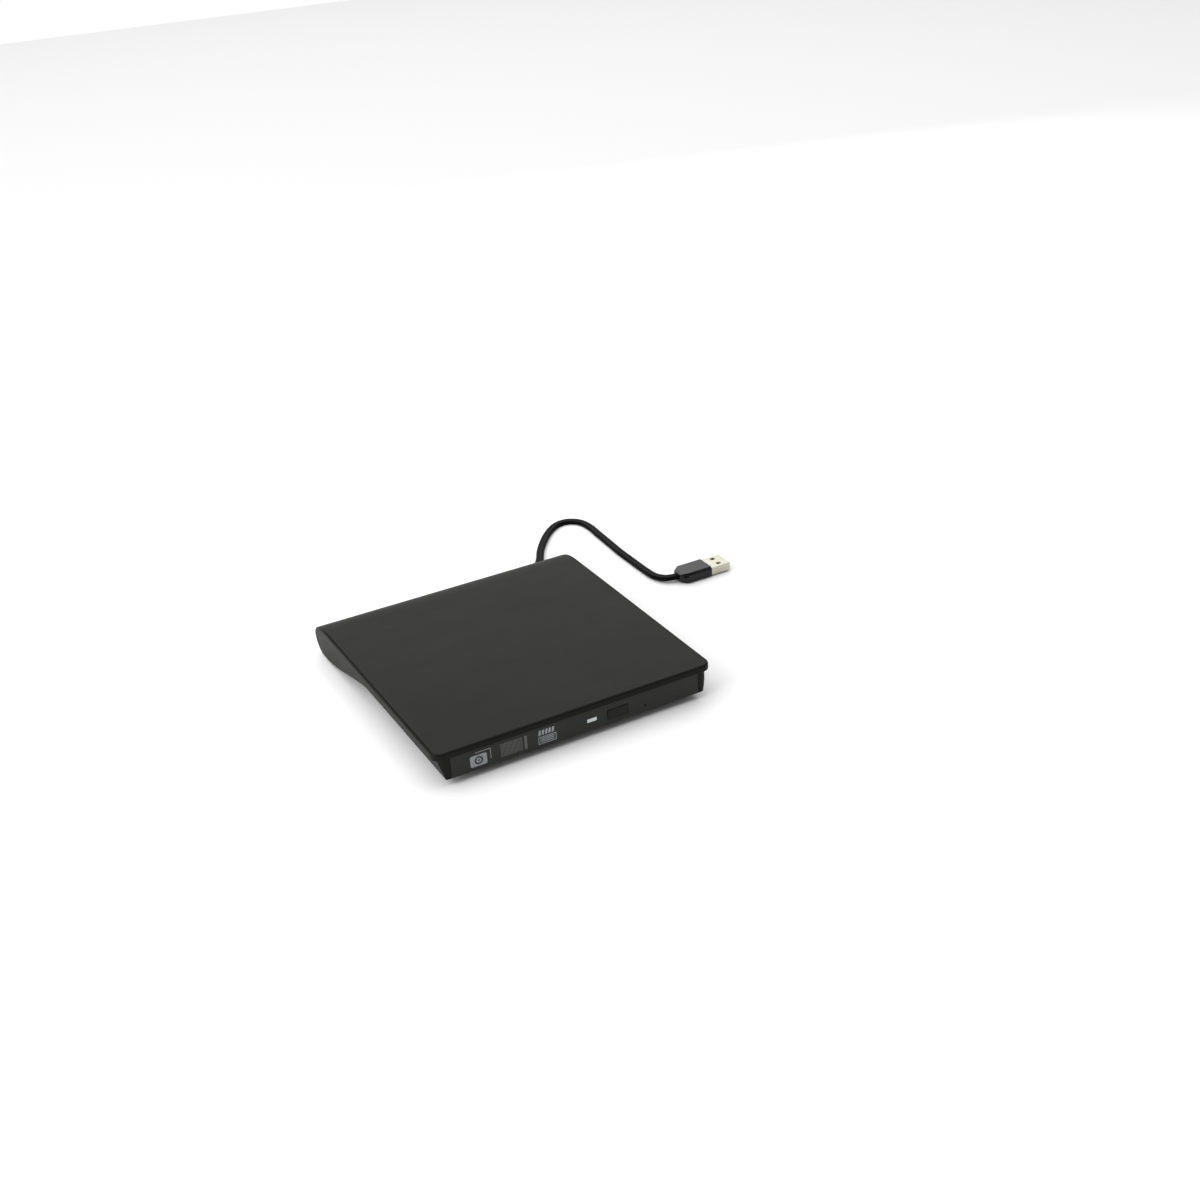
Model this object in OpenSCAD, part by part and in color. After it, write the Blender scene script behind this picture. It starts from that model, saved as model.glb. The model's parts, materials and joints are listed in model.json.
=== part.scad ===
// Slim external disc drive: a wave-shaped case round a tray-loading drive,
// with a captive flat USB lead that lies on the table behind it.
// Millimetres. +X is right, -Y is the front, +Z is up. The origin is the
// middle of the case's footprint, on the surface that the feet stand on.

/* [Case] */
// Overall width of the case
body_w = 145; // [140:1:180]
// Overall depth of the case, front lip to rear bulge
body_d = 153.8; // [146:0.2:190]
// Height of the flat top above the table
body_h = 18.2; // [17.8:0.1:24]
// Height of the thin front lip
lip_h = 3.4; // [3:0.1:4.6]
// Height of the cover's side where the wave begins
edge_h = 4.8; // [3.6:0.1:7]
// Thickness of the cover's top plate
plate_t = 1.8; // [1.2:0.1:2.4]
// Thickness of the cover's sides
skirt_t = 2.2; // [1.4:0.1:3]
// Plan radius of the cover's front corners
front_r = 5; // [3:0.5:9]
// Plan radius of the cover's rear corners
rear_r = 1.5; // [1:0.5:6]
// Wall of the lower case
case_t = 1.5; // [1:0.1:2]
// Floor of the lower case
floor_t = 1.2; // [1:0.1:2]
// How far the lower case narrows on each side towards its floor
taper = 2.7; // [0:0.1:3]

/* [Rear bulge] */
// Air under the bulge
bulge_gap = 1.6; // [1:0.1:3]
// Length of the wave from the bulge to the thin edge
wave_l = 62.7; // [40:1:75]
// Flat underside of the bulge, measured from the rear
bulge_l = 16.1; // [14:0.1:20]
// Height at which the rounded rear stands out furthest
nose_z = 10.3; // [8:0.1:12]
// Depth of the bay behind the drive, for the board and the lead
bay_d = 26.6; // [26.6:0.1:40]
// Width of the lead's storage channel
channel_w = 120; // [80:1:124]

/* [Drive] */
// Height of the drive inside
drive_h = 9.5; // [9.5:0.1:12.7]
// Thickness of the drive's sheet steel
sheet_t = 0.5; // [0.4:0.1:0.6]
// Thickness of the front bezel
bezel_t = 3; // [2.6:0.1:5]
// Radius of a full-size disc
disc_r = 60; // [60:0.5:61]
// Height of the rails that carry the tray
rail_h = 5; // [4:0.1:5.4]

/* [Spindle and pickup] */
// Radius of the hub that clamps the disc
hub_r = 7.4; // [7:0.05:7.45]
// Radius of the spindle shaft
shaft_r = 1.5; // [1:0.1:2]
// Radius of the guide rods
rod_r = 1; // [0.8:0.05:1.1]
// Distance of the guide rods from the line that the lens runs on
rod_off = 11; // [10:0.5:11]
// Radius of the lead screw
screw_r = 1; // [0.8:0.05:1.1]
// Distance from the disc's centre to the lens when the pickup is home
lens_home = 24; // [23:0.5:26]

/* [Front controls] */
// Width of the eject button
button_w = 11; // [8:0.5:14]
// Height of the eject button
button_h = 5; // [3:0.1:6]
// Width of the indicator's lens
led_w = 5.2; // [3:0.1:7]
// Diameter of the emergency eject hole
pin_hole_d = 1.1; // [0.8:0.1:1.6]

/* [Lead] */
// Width of the flat lead
lead_w = 4.4; // [3.6:0.1:5]
// Thickness of the flat lead
lead_t = 2.5; // [2:0.1:2.6]
// Length of the plug's moulded body
plug_l = 18.5; // [16:0.5:30]
// Width of the plug's moulded body
plug_w = 13.2; // [13:0.1:17]
// Height of the plug's moulded body
plug_h = 6.2; // [6:0.1:9]

/* [Hidden] */
$fn = 48;

// small clearances and fits
gap = 0.1;
run_gap = 0.03;
deep = 50;
seam = 0.1;

// the case's planes
front_y = -body_d / 2;
rear_y = body_d / 2;
lip_z = body_h - lip_h;
edge_z = body_h - edge_h;
plate_z = body_h - plate_t;
shell_w = body_w - 2 * (skirt_t + gap);
lip_r = 1.2;
nose_up = 17.7;
nose_low = 10.4;
wave_rear_y = rear_y - bulge_l;
wave_steps = 14;

// the drive's planes
drive_z1 = lip_z - seam;
drive_z0 = drive_z1 - drive_h;
low_z = drive_z0 - floor_t;
side_margin = 8.5;
drive_w = body_w - 2 * side_margin;
bezel_y = front_y + 0.6;
bezel_back = bezel_y + bezel_t;
drive_y0 = bezel_back + 0.3;
drive_y1 = rear_y - bay_d - 0.5;
bezel_w = drive_w + 1.4;
hub_y = bezel_y + disc_r + 4.4;
base_half = drive_w / 2 - sheet_t - gap;
lid_z = drive_z1 - sheet_t;

// rails, guides and tray
rail_z0 = drive_z0 + 2;
rail_z1 = rail_z0 + rail_h;
rail_web = 0.8;
rail_in = drive_w / 2 - 4.4;
rail_out = rail_in + 2.2;
guide_in = rail_in + 0.6;
rail_y0 = bezel_back + 3.4;
rail_y1 = drive_y1 - 1.7;
tray_half = rail_in - 0.2;
tray_wall = 1.2;
tray_y1 = drive_y1 - 1.7;
tray_z0 = rail_z0 + 0.35;
tray_z1 = lid_z - 0.8;
disc_z = tray_z1 - 1.4;
web_t = 1.2;
web_z = disc_z - web_t;
tongue_out = rail_out - rail_web - 0.2;

// latch and ejector
lane_x = -drive_w / 2 + 9.8;
latch_x = lane_x + 5.2;
latch_y = bezel_back + 15.4;
latch_post_y = bezel_back + 4.5;
latch_open = 14;
eject_x = drive_w / 2 - 21;
eject_y = tray_y1 - 15.9;

// heights of the disc mechanism
deck_z = tray_z0 + 0.45;
deck_t = 0.8;
deck_top = deck_z + deck_t;
rod_z = deck_top + 1.1;
sled_z0 = deck_z + 0.3;
sled_z1 = sled_z0 + 3;
cover_z = disc_z - 0.4;
cover_t = 0.3;
rest_z = disc_z + 0.4;

// plan of the disc mechanism: u runs outwards from the hub, v across
deck_end = min(tray_half - tray_wall - 1.6, disc_r - 3) * sqrt(2) - 12;
deck_half = 15.5;
screw_v = 15.4;
clamp_l = 2.4;
sled_in = lens_home - 7;
sled_out = lens_home + 8.5;
sled_half = 13;
window_u0 = sled_in - 0.4;
window_u1 = deck_end - clamp_l - 0.4;
rotor_r = 13.2;
turntable_r = 14.5;
damper_uv = [[-15.6, -15.6], [-15.6, 15.6], [40, -20.5]];

// front controls, from the middle of the bezel
button_x = 20.7;
button_z = body_h - 9.35;
led_x = 7;
led_z = body_h - 9;
pin_hole_x = 35.5;
pin_hole_z = body_h - 11;
flange_t = 0.3;

// rear bay
bay_y = drive_y1 + 0.5;
channel_y1 = rear_y - 13;
channel_y0 = channel_y1 - 7;
channel_roof = body_h - 10.2;
roof_t = 1.4;
board_z = channel_roof + roof_t + 1.6;
board_t = 1.2;
board_y0 = bay_y + 1.3;
board_y1 = rear_y - 8.3;
board_x0 = -15;
board_x1 = 60;
socket_y0 = drive_y1 + 1.6;
lead_x = 55;
lead_z = 4.2;
screw_x = body_w / 2 - 7;
screw_y = rear_y - 18.3;
foot_seat = 2.6;
post_z = 6;
post_xs = [-8, 45];

// the lead's route over the table, from the strain relief to the plug
route = [
  [55, 64.1, 4.2], [55, 69.1, 4.2], [55.2, 74.3, 3.5], [56.8, 79.8, 2],
  [60.3, 85.4, 1.3], [65.1, 93.1, 1.3], [70.5, 101.1, 1.3], [75, 109.1, 1.3],
  [80.5, 117.1, 1.3], [86.5, 124.6, 1.3], [93, 131.1, 1.3], [100, 135.6, 1.3],
  [107, 135.6, 1.3], [112.5, 130.1, 1.3], [114, 121.1, 1.3], [113.5, 111.1, 1.3],
  [113, 101.1, 1.3], [112.5, 91.1, 1.3], [112, 81.1, 1.3], [112, 71.1, 1.3],
  [112, 61.1, 1.3], [112, 52.1, 1.4], [112.5, 44.1, 1.8], [115.5, 37.6, 2.5],
  [121, 34.6, 3.1]
];
relief_end = route[0];
plug_at = route[len(route) - 1];
lead_sides = 8;
lead_subs = 3;
shell_l = 12;
shell_w_usb = 12;
shell_h_usb = 4.5;
shell_t = 0.35;

// ---------- outlines ----------

// a soft S between 0 and 1
function ease(t) = 0.7 * t * t * (3 - 2 * t) + 0.3 * t;

function arc(cy, cz, ry, rz, a0, a1, n) =
  [for (i = [0:n]) let (a = a0 + (a1 - a0) * i / n) [cy + ry * cos(a), cz + rz * sin(a)]];

// the wave from the bulge forwards, lifted by up
function wave(up) =
  [for (i = [0:wave_steps])
    let (t = i / wave_steps)
    [wave_rear_y - wave_l * t, bulge_gap + (edge_z - bulge_gap) * ease(t) + up]];

// side outline of the whole cover, in Y and Z
function cover_outline() = concat(
  [[front_y, lip_z]],
  arc(front_y + lip_r, body_h - lip_r, lip_r, lip_r, 180, 90, 4),
  arc(rear_y - nose_up, nose_z, nose_up, body_h - nose_z, 90, 0, 14),
  arc(rear_y - nose_low, nose_z, nose_low, nose_z - bulge_gap, -10, -90, 8),
  wave(0));

// side outline of the hollow inside the cover, open below
function hollow_outline() = concat(
  [[front_y + skirt_t, -1], [front_y + skirt_t, plate_z]],
  arc(rear_y - nose_up, nose_z, nose_up - skirt_t, plate_z - nose_z, 90, 0, 14),
  arc(rear_y - nose_low - 1, nose_z, nose_low + 1 - skirt_t, nose_z - bulge_gap, -10, -90, 8),
  [[rear_y - nose_low - 1, -1]]);

// the wave-shaped floor that closes the cover from below
function wave_floor(t) = concat(
  [[front_y + skirt_t + gap, lip_z]],
  [for (i = [wave_steps:-1:0]) wave(0)[i]],
  [[channel_y1 + case_t, bulge_gap], [channel_y1 + case_t, bulge_gap + t]],
  wave(t),
  [[front_y + skirt_t + gap, lip_z + t]]);

// ---------- helpers ----------

// extrudes a Y-Z outline across the width, centred
module across(w) {
  translate([-w / 2, 0, 0])
    rotate([90, 0, 90])
      linear_extrude(w)
        children();
}

// a plan outline with its own front and rear corner radii
module plan(w, y0, y1, rf, rr) {
  polygon(concat(
    arc(w / 2 - rf, y0 + rf, rf, rf, -90, 0, 8),
    arc(w / 2 - rr, y1 - rr, rr, rr, 0, 90, 8),
    arc(-w / 2 + rr, y1 - rr, rr, rr, 90, 180, 8),
    arc(-w / 2 + rf, y0 + rf, rf, rf, 180, 270, 8)));
}

// a box from its lowest corner to its highest
module block(a, b) {
  translate(a)
    cube(b - a);
}

// an upright cylinder from z0 to z1
module post(x, y, z0, z1, r) {
  translate([x, y, z0])
    cylinder(h = z1 - z0, r = r);
}

// places children on the hub, with u as X and v as Y
module mechanism() {
  translate([0, hub_y, 0])
    rotate([0, 0, -45])
      children();
}

// a rod along u
module rod(u0, u1, v, z, r) {
  translate([u0, v, z])
    rotate([0, 90, 0])
      cylinder(h = u1 - u0, r = r);
}

// a straight bar between two plan points
module bar(p, q, w) {
  d = q - p;
  translate(p)
    rotate(atan2(d.y, d.x))
      translate([0, -w / 2])
        square([norm(d), w]);
}

// outline of the disc mechanism, grown by g
module deck_plan(g) {
  polygon([
    [0, -deck_half - g], [deck_end - 6, -deck_half - g], [deck_end + g, -13 - g / 2],
    [deck_end + g, 13 + g / 2], [deck_end - 5, 17.5 + g], [8, 17.5 + g], [0, deck_half + g]]);
  circle(r = 17 + g);
}

// ---------- case ----------

module cable_notch() {
  block([lead_x - 4, channel_y1 - gap, -1], [lead_x + 4, rear_y + 1, lead_z + 2]);
}

module top_cover() {
  color([0.17, 0.17, 0.165]) {
    difference() {
      intersection() {
        across(body_w)
          polygon(cover_outline());
        linear_extrude(deep)
          plan(body_w, front_y, rear_y, front_r, rear_r);
      }
      across(body_w - 2 * skirt_t)
        polygon(hollow_outline());
      cable_notch();
    }
    for (x = [-screw_x, screw_x])
      difference() {
        post(x, screw_y, post_z, plate_z, 2.8);
        post(x, screw_y, post_z - 1, plate_z - 3, 1.1);
      }
  }
}

module lower_outer() {
  half_top = shell_w / 2;
  half_low = half_top - taper;
  intersection() {
    translate([0, bay_y, 0])
      rotate([90, 0, 0])
        linear_extrude(bay_y - bezel_y)
          polygon([
            [-half_low, low_z], [half_low, low_z], [half_top, edge_z],
            [half_top, plate_z], [-half_top, plate_z], [-half_top, edge_z]]);
    linear_extrude(deep)
      plan(shell_w, bezel_y, rear_y, front_r - 1, rear_r);
  }
}

module lower_hollow() {
  half_top = shell_w / 2 - case_t;
  half_low = half_top - taper;
  translate([0, bay_y, 0])
    rotate([90, 0, 0])
      linear_extrude(bay_y - bezel_y - 2)
        polygon([
          [-half_low, drive_z0], [half_low, drive_z0], [half_top, edge_z],
          [half_top, deep], [-half_top, deep], [-half_top, edge_z]]);
}

module channel_shell() {
  half = channel_w / 2 + case_t;
  block([-half, channel_y0 - case_t, foot_seat], [half, channel_y1 + case_t, channel_roof + roof_t]);
}

module bottom_case() {
  color([0.1, 0.1, 0.1]) {
    difference() {
      union() {
        difference() {
          union() {
            lower_outer();
            intersection() {
              across(shell_w)
                polygon(wave_floor(floor_t + 0.2));
              linear_extrude(deep)
                plan(shell_w, front_y + skirt_t + gap, rear_y, front_r - 1, rear_r);
            }
          }
          lower_hollow();
          // the front is open between the cheeks, and the floor stops behind the bezel
          block([-bezel_w / 2 - 0.2, front_y - 1, low_z - 5], [bezel_w / 2 + 0.2, bezel_back + gap, deep]);
          // the cheeks stop under the cover's front lip
          block([-shell_w, front_y - 1, lip_z - gap], [shell_w, front_y + skirt_t + gap, deep]);
        }
        channel_shell();
        for (x = [-screw_x, screw_x])
          post(x, screw_y, foot_seat, post_z - gap, 3.5);
        for (x = post_xs)
          post(x, board_y1 - 6, channel_roof, board_z, 2);
      }
      // the storage channel for the lead
      block([-channel_w / 2, channel_y0, -1], [channel_w / 2, channel_y1, channel_roof]);
      cable_notch();
      block([lead_x - 3.2, channel_y0 - 3, lead_z - 1.8], [lead_x + 3.2, channel_y0 + 1, lead_z + 1.8]);
      for (x = [-screw_x, screw_x]) {
        post(x, screw_y, -1, foot_seat, 4.5);
        post(x, screw_y, foot_seat - 1, foot_seat + 1.8, 2.5);
        post(x, screw_y, foot_seat, post_z + 1, 1.4);
      }
      for (x = [-1, 1])
        post(x * front_foot_x(), front_foot_y(), -1, low_z + 0.4, 5.1);
      for (p = drive_screw_at()) {
        post(p.x, p.y, low_z - 1, low_z + 0.7, 2);
        post(p.x, p.y, low_z, drive_z0 + 1, 1.05);
      }
      for (x = post_xs)
        post(x, board_y1 - 6, board_z - 1.4, board_z + 1, 0.8);
    }
  }
}

function front_foot_x() = drive_w / 2 - 10;
function front_foot_y() = front_y + 15;
function drive_screw_at() =
  [for (x = [-1, 1], y = [drive_y0 + 30, drive_y1 - 17]) [x * (drive_w / 2 - 7), y]];

module rubber_feet() {
  color([0.07, 0.07, 0.07]) {
    for (x = [-1, 1]) {
      translate([x * front_foot_x(), front_foot_y(), 0])
        cylinder(h = 0.5, r1 = 4.5, r2 = 5);
      post(x * front_foot_x(), front_foot_y(), 0.5, low_z + 0.4, 5);
    }
    for (x = [-screw_x, screw_x]) {
      translate([x, screw_y, 0])
        cylinder(h = 0.5, r1 = 3.9, r2 = 4.4);
      post(x, screw_y, 0.5, foot_seat, 4.4);
    }
  }
}

module case_screws() {
  color([0.45, 0.45, 0.47])
    for (x = [-screw_x, screw_x])
      difference() {
        union() {
          post(x, screw_y, foot_seat + 0.2, foot_seat + 1.8, 2.3);
          post(x, screw_y, foot_seat + 1.8, plate_z - 4, 1.1);
        }
        cross_recess(x, screw_y, foot_seat + 0.2, 2.2, 0.7);
      }
}

// a cross cut up into a screw head
module cross_recess(x, y, z, l, h) {
  translate([x, y, z]) {
    translate([-l / 2, -0.25, -1])
      cube([l, 0.5, h + 1]);
    translate([-0.25, -l / 2, -1])
      cube([0.5, l, h + 1]);
  }
}

module drive_screws() {
  color([0.6, 0.6, 0.62])
    for (p = drive_screw_at()) {
      post(p.x, p.y, low_z + 0.1, low_z + 0.7, 1.8);
      post(p.x, p.y, low_z + 0.7, drive_z0 + 1.5, 0.9);
    }
}

module foam_pads() {
  color([0.2, 0.2, 0.2])
    for (x = [-1, 1], y = [drive_y0 + 14, drive_y1 - 18])
      block([x * (drive_w / 2 - 20) - 10, y, drive_z1], [x * (drive_w / 2 - 20) + 10, y + 6, plate_z]);
}

// ---------- rear bay ----------

module bridge_board() {
  color([0.06, 0.32, 0.17])
    difference() {
      block([board_x0, board_y0, board_z], [board_x1, board_y1, board_z + board_t]);
      for (x = post_xs)
        post(x, board_y1 - 6, board_z - 1, board_z + 3, 0.85);
    }
}

module bridge_chips() {
  z = board_z + board_t;
  y = board_y0 + 4;
  color([0.12, 0.12, 0.13]) {
    block([8, y, z], [15, y + 7, z + 0.9]);
    block([20, y + 1, z], [25, y + 5, z + 1]);
    block([29, y + 1, z], [32.4, y + 3.6, z + 0.8]);
    block([-4, y + 1, z], [1, y + 4, z + 1.2]);
    for (i = [0:4])
      block([36 + i * 2.2, y, z], [37.2 + i * 2.2, y + 0.7, z + 0.5]);
  }
}

module sata_socket() {
  color([0.11, 0.11, 0.11])
    block([-1, socket_y0, drive_z0 + 1.3], [34, socket_y0 + 3.9, board_z]);
}

module board_screws() {
  color([0.7, 0.7, 0.72])
    for (x = post_xs) {
      post(x, board_y1 - 6, board_z + board_t, board_z + board_t + 0.9, 1.5);
      post(x, board_y1 - 6, board_z - 1.2, board_z + board_t, 0.8);
    }
}

module lead_wires() {
  colors = ["red", "white", "green", "black"];
  for (i = [0:3])
    color(colors[i])
      post(lead_x - 2.1 + i * 1.4, channel_y0 - case_t - 2.2, lead_z + 0.8, board_z, 0.4);
}

// ---------- lead and plug ----------

module strain_relief() {
  y0 = channel_y0 - case_t;
  y1 = relief_end.y;
  color([0.08, 0.08, 0.08]) {
    block([lead_x - 4.2, y0 - 1.2, lead_z - 0.5], [lead_x + 4.2, y0, lead_z + 2.6]);
    block([lead_x - 2.8, y0 - 3, lead_z - 0.2], [lead_x + 2.8, y0 - 1.2, lead_z + 0.8]);
    block([lead_x - 3.2, y0, lead_z - 1.8], [lead_x + 3.2, channel_y0 + 1, lead_z + 1.8]);
    translate([lead_x, 0, lead_z])
      rotate([90, 0, 180])
        hull() {
          translate([-3.1, -1.7, channel_y0 + 1])
            cube([6.2, 3.4, 0.1]);
          translate([-lead_w / 2 - 0.2, -lead_t / 2 - 0.2, y1 - 0.1])
            cube([lead_w + 0.4, lead_t + 0.4, 0.1]);
        }
  }
}

// Catmull-Rom curve through the route
function route_point(i) = i < 0 ? 2 * route[0] - route[1]
  : i >= len(route) ? 2 * route[len(route) - 1] - route[len(route) - 2]
  : route[i];

function curve(i, t) =
  let (a = route_point(i - 1), b = route_point(i), c = route_point(i + 1), d = route_point(i + 2))
  0.5 * (2 * b + (c - a) * t + (2 * a - 5 * b + 4 * c - d) * t * t + (3 * b - a - 3 * c + d) * t * t * t);

function curve_slope(i, t) =
  let (a = route_point(i - 1), b = route_point(i), c = route_point(i + 1), d = route_point(i + 2))
  0.5 * ((c - a) + 2 * (2 * a - 5 * b + 4 * c - d) * t + 3 * (3 * b - a - 3 * c + d) * t * t);

function unit(v) = v / norm(v);

// one ring of the flat lead: an octagon lying across the direction of travel
function lead_ring(p, dir) =
  let (side = unit(cross(dir, [0, 0, 1])), up = unit(cross(side, dir)), c = 0.8)
  [for (q = [[1, 1 - c], [c, 1], [-c, 1], [-1, 1 - c], [-1, c - 1], [-c, -1], [c, -1], [1, c - 1]])
    p + side * q.x * lead_w / 2 + up * q.y * lead_t / 2];

module usb_lead() {
  spans = len(route) - 1;
  rings = concat(
    [for (i = [0:spans - 1], k = [0:lead_subs - 1])
      lead_ring(curve(i, k / lead_subs), curve_slope(i, k / lead_subs))],
    [lead_ring(plug_at, [1, 0, 0])]);
  n = len(rings);
  points = [for (r = rings, p = r) p];
  sides = [for (i = [0:n - 2], k = [0:lead_sides - 1])
    let (a = i * lead_sides, b = a + lead_sides, m = (k + 1) % lead_sides)
    [a + k, b + k, b + m, a + m]];
  ends = [
    [for (k = [0:lead_sides - 1]) k],
    [for (k = [lead_sides - 1:-1:0]) (n - 1) * lead_sides + k]];
  color([0.07, 0.07, 0.07])
    polyhedron(points, concat(sides, ends));
}

module plug_body() {
  cut = 1.2;
  color([0.09, 0.09, 0.09])
    translate([plug_at.x, plug_at.y, plug_h / 2])
      difference() {
        hull() {
          translate([0, -plug_w / 2 + 3.5, -plug_h / 2 + 1])
            cube([0.2, plug_w - 7, plug_h - 2]);
          translate([3.5, -plug_w / 2, -plug_h / 2 + cut])
            cube([plug_l - 3.5, plug_w, plug_h - 2 * cut]);
          translate([3.5, -plug_w / 2 + cut, -plug_h / 2])
            cube([plug_l - 3.5, plug_w - 2 * cut, plug_h]);
        }
        // the metal shell's root sits in the moulding
        translate([plug_l - 2, -shell_w_usb / 2, -shell_h_usb / 2])
          cube([3, shell_w_usb, shell_h_usb]);
      }
}

module in_plug() {
  translate([plug_at.x + plug_l, plug_at.y, plug_h / 2])
    children();
}

module plug_shell() {
  color([0.78, 0.77, 0.72])
    in_plug()
      difference() {
        translate([-2, -shell_w_usb / 2, -shell_h_usb / 2])
          cube([shell_l + 2, shell_w_usb, shell_h_usb]);
        translate([-1, -shell_w_usb / 2 + shell_t, -shell_h_usb / 2 + shell_t])
          cube([shell_l + 2, shell_w_usb - 2 * shell_t, shell_h_usb - 2 * shell_t]);
        for (y = [-3, 3])
          translate([5.2, y - 1.1, 0])
            cube([2.4, 2.2, shell_h_usb]);
      }
}

module plug_tongue() {
  color([0.06, 0.06, 0.06])
    in_plug()
      translate([-1, -shell_w_usb / 2 + shell_t, -shell_h_usb / 2 + shell_t])
        cube([shell_l, shell_w_usb - 2 * shell_t, 1.85]);
}

module plug_contacts() {
  color([0.85, 0.68, 0.3])
    in_plug()
      for (y = [-3.5, -1, 1, 3.5])
        translate([1, y - 0.5, -shell_h_usb / 2 + shell_t + 1.85])
          cube([8.5, 1, 0.15]);
}

// ---------- drive housing ----------

module drive_base() {
  color([0.72, 0.73, 0.74])
    difference() {
      union() {
        block([-base_half, drive_y0, drive_z0], [base_half, drive_y1, drive_z0 + sheet_t]);
        for (x = [-base_half, base_half - sheet_t])
          block([x, drive_y0, drive_z0], [x + sheet_t, drive_y1, lid_z]);
        block([-base_half, drive_y1 - sheet_t, drive_z0], [base_half, drive_y1, lid_z]);
        post(lane_x, latch_post_y, drive_z0, drive_z0 + 3.8, 0.9);
        for (x = [eject_x - 2.2, eject_x + 1.6])
          block([x, eject_y - 10, drive_z0], [x + 0.6, drive_y1, drive_z0 + 1.6]);
        for (p = drive_screw_at())
          post(p.x, p.y, drive_z0, drive_z0 + 1.7, 2);
      }
      for (p = drive_screw_at())
        post(p.x, p.y, drive_z0 - 1, drive_z0 + 1.5, 0.9);
      block([-0.2, drive_y1 - 1, drive_z0 + sheet_t], [33.2, drive_y1 + 1, drive_z0 + 6.2]);
    }
}

module drive_lid() {
  half = drive_w / 2;
  color([0.76, 0.77, 0.78])
    difference() {
      union() {
        block([-half, drive_y0, lid_z], [half, drive_y1, drive_z1]);
        for (x = [-half, half - sheet_t])
          block([x, drive_y0, lid_z - 4], [x + sheet_t, drive_y1, drive_z1]);
      }
      for (x = [-40, 40], y = [-30, 30])
        post(x, y, lid_z - 1, drive_z1 + 1, 1.5);
    }
}

// a fixed channel that holds a rail; side is -1 on the left and 1 on the right
module guide(side) {
  z0 = rail_z0 - 0.9;
  z1 = rail_z1 + 0.9;
  color([0.88, 0.88, 0.85])
    scale([side, 1, 1])
      difference() {
        block([guide_in, rail_y0 - 1, z0], [base_half - sheet_t, rail_y1 - 4, z1]);
        block([guide_in - 1, rail_y0 - 2, z0 + 0.8], [rail_out + 0.2, rail_y1, z1 - 0.8]);
      }
}

module rail(side) {
  color([0.66, 0.67, 0.69])
    scale([side, 1, 1])
      difference() {
        block([rail_in, rail_y0, rail_z0], [rail_out, rail_y1, rail_z1]);
        block([rail_in - 1, rail_y0 - 1, rail_z0 + rail_web],
            [rail_out - rail_web, rail_y1 + 1, rail_z1 - rail_web]);
      }
}

module drive_board() {
  color([0.05, 0.28, 0.15])
    block([-drive_w / 2 + 14, tray_y1 - 19, drive_z0 + sheet_t],
        [eject_x - 5, drive_y1 - 0.8, drive_z0 + sheet_t + 0.6]);
}

module drive_chips() {
  z = drive_z0 + sheet_t + 0.6;
  y = tray_y1 - 16;
  color([0.1, 0.1, 0.11]) {
    block([-34, y, z], [-22, y + 11, z + 0.7]);
    block([-14, y + 1, z], [-7, y + 7, z + 0.7]);
    block([6, y + 2, z], [12, y + 7, z + 0.7]);
  }
}

module drive_connector() {
  color([0.1, 0.1, 0.1])
    difference() {
      block([0, tray_y1 + 0.2, drive_z0 + sheet_t + 0.6], [33, socket_y0, drive_z0 + 5.8]);
      block([-1, tray_y1, drive_z0], [34, drive_y1 - 0.7, drive_z0 + sheet_t + 0.6]);
    }
}

module base_flex() {
  color([0.75, 0.55, 0.25])
    block([-30, tray_y1 - 70, drive_z0 + sheet_t], [-12, tray_y1 - 19, drive_z0 + sheet_t + 0.2]);
}

module ejector() {
  color([0.85, 0.85, 0.82]) {
    block([eject_x - 3, eject_y, tray_z0 + 0.15], [eject_x + 3, tray_y1 + 0.4, web_z - 0.3]);
    block([eject_x - 1.5, tray_y1 - 10, drive_z0 + sheet_t], [eject_x + 1.5, tray_y1, tray_z0 + 0.15]);
  }
}

// the compressed eject spring, drawn as its coils' rings on a rod
module ejector_spring() {
  color([0.7, 0.7, 0.7])
    translate([eject_x + 4.6, tray_y1 - 9, rod_z - 0.6])
      rotate([-90, 0, 0]) {
        cylinder(h = drive_y1 - sheet_t - tray_y1 + 9, r = 0.5);
        for (i = [0:7])
          translate([0, 0, 0.3 + i * 1.1])
            rotate_extrude()
              translate([0.9, 0])
                circle(r = 0.3, $fn = 16);
        for (i = [0:7])
          translate([0, 0, 0.15 + i * 1.1])
            cylinder(h = 0.3, r = 0.8);
      }
}

// ---------- tray ----------

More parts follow.
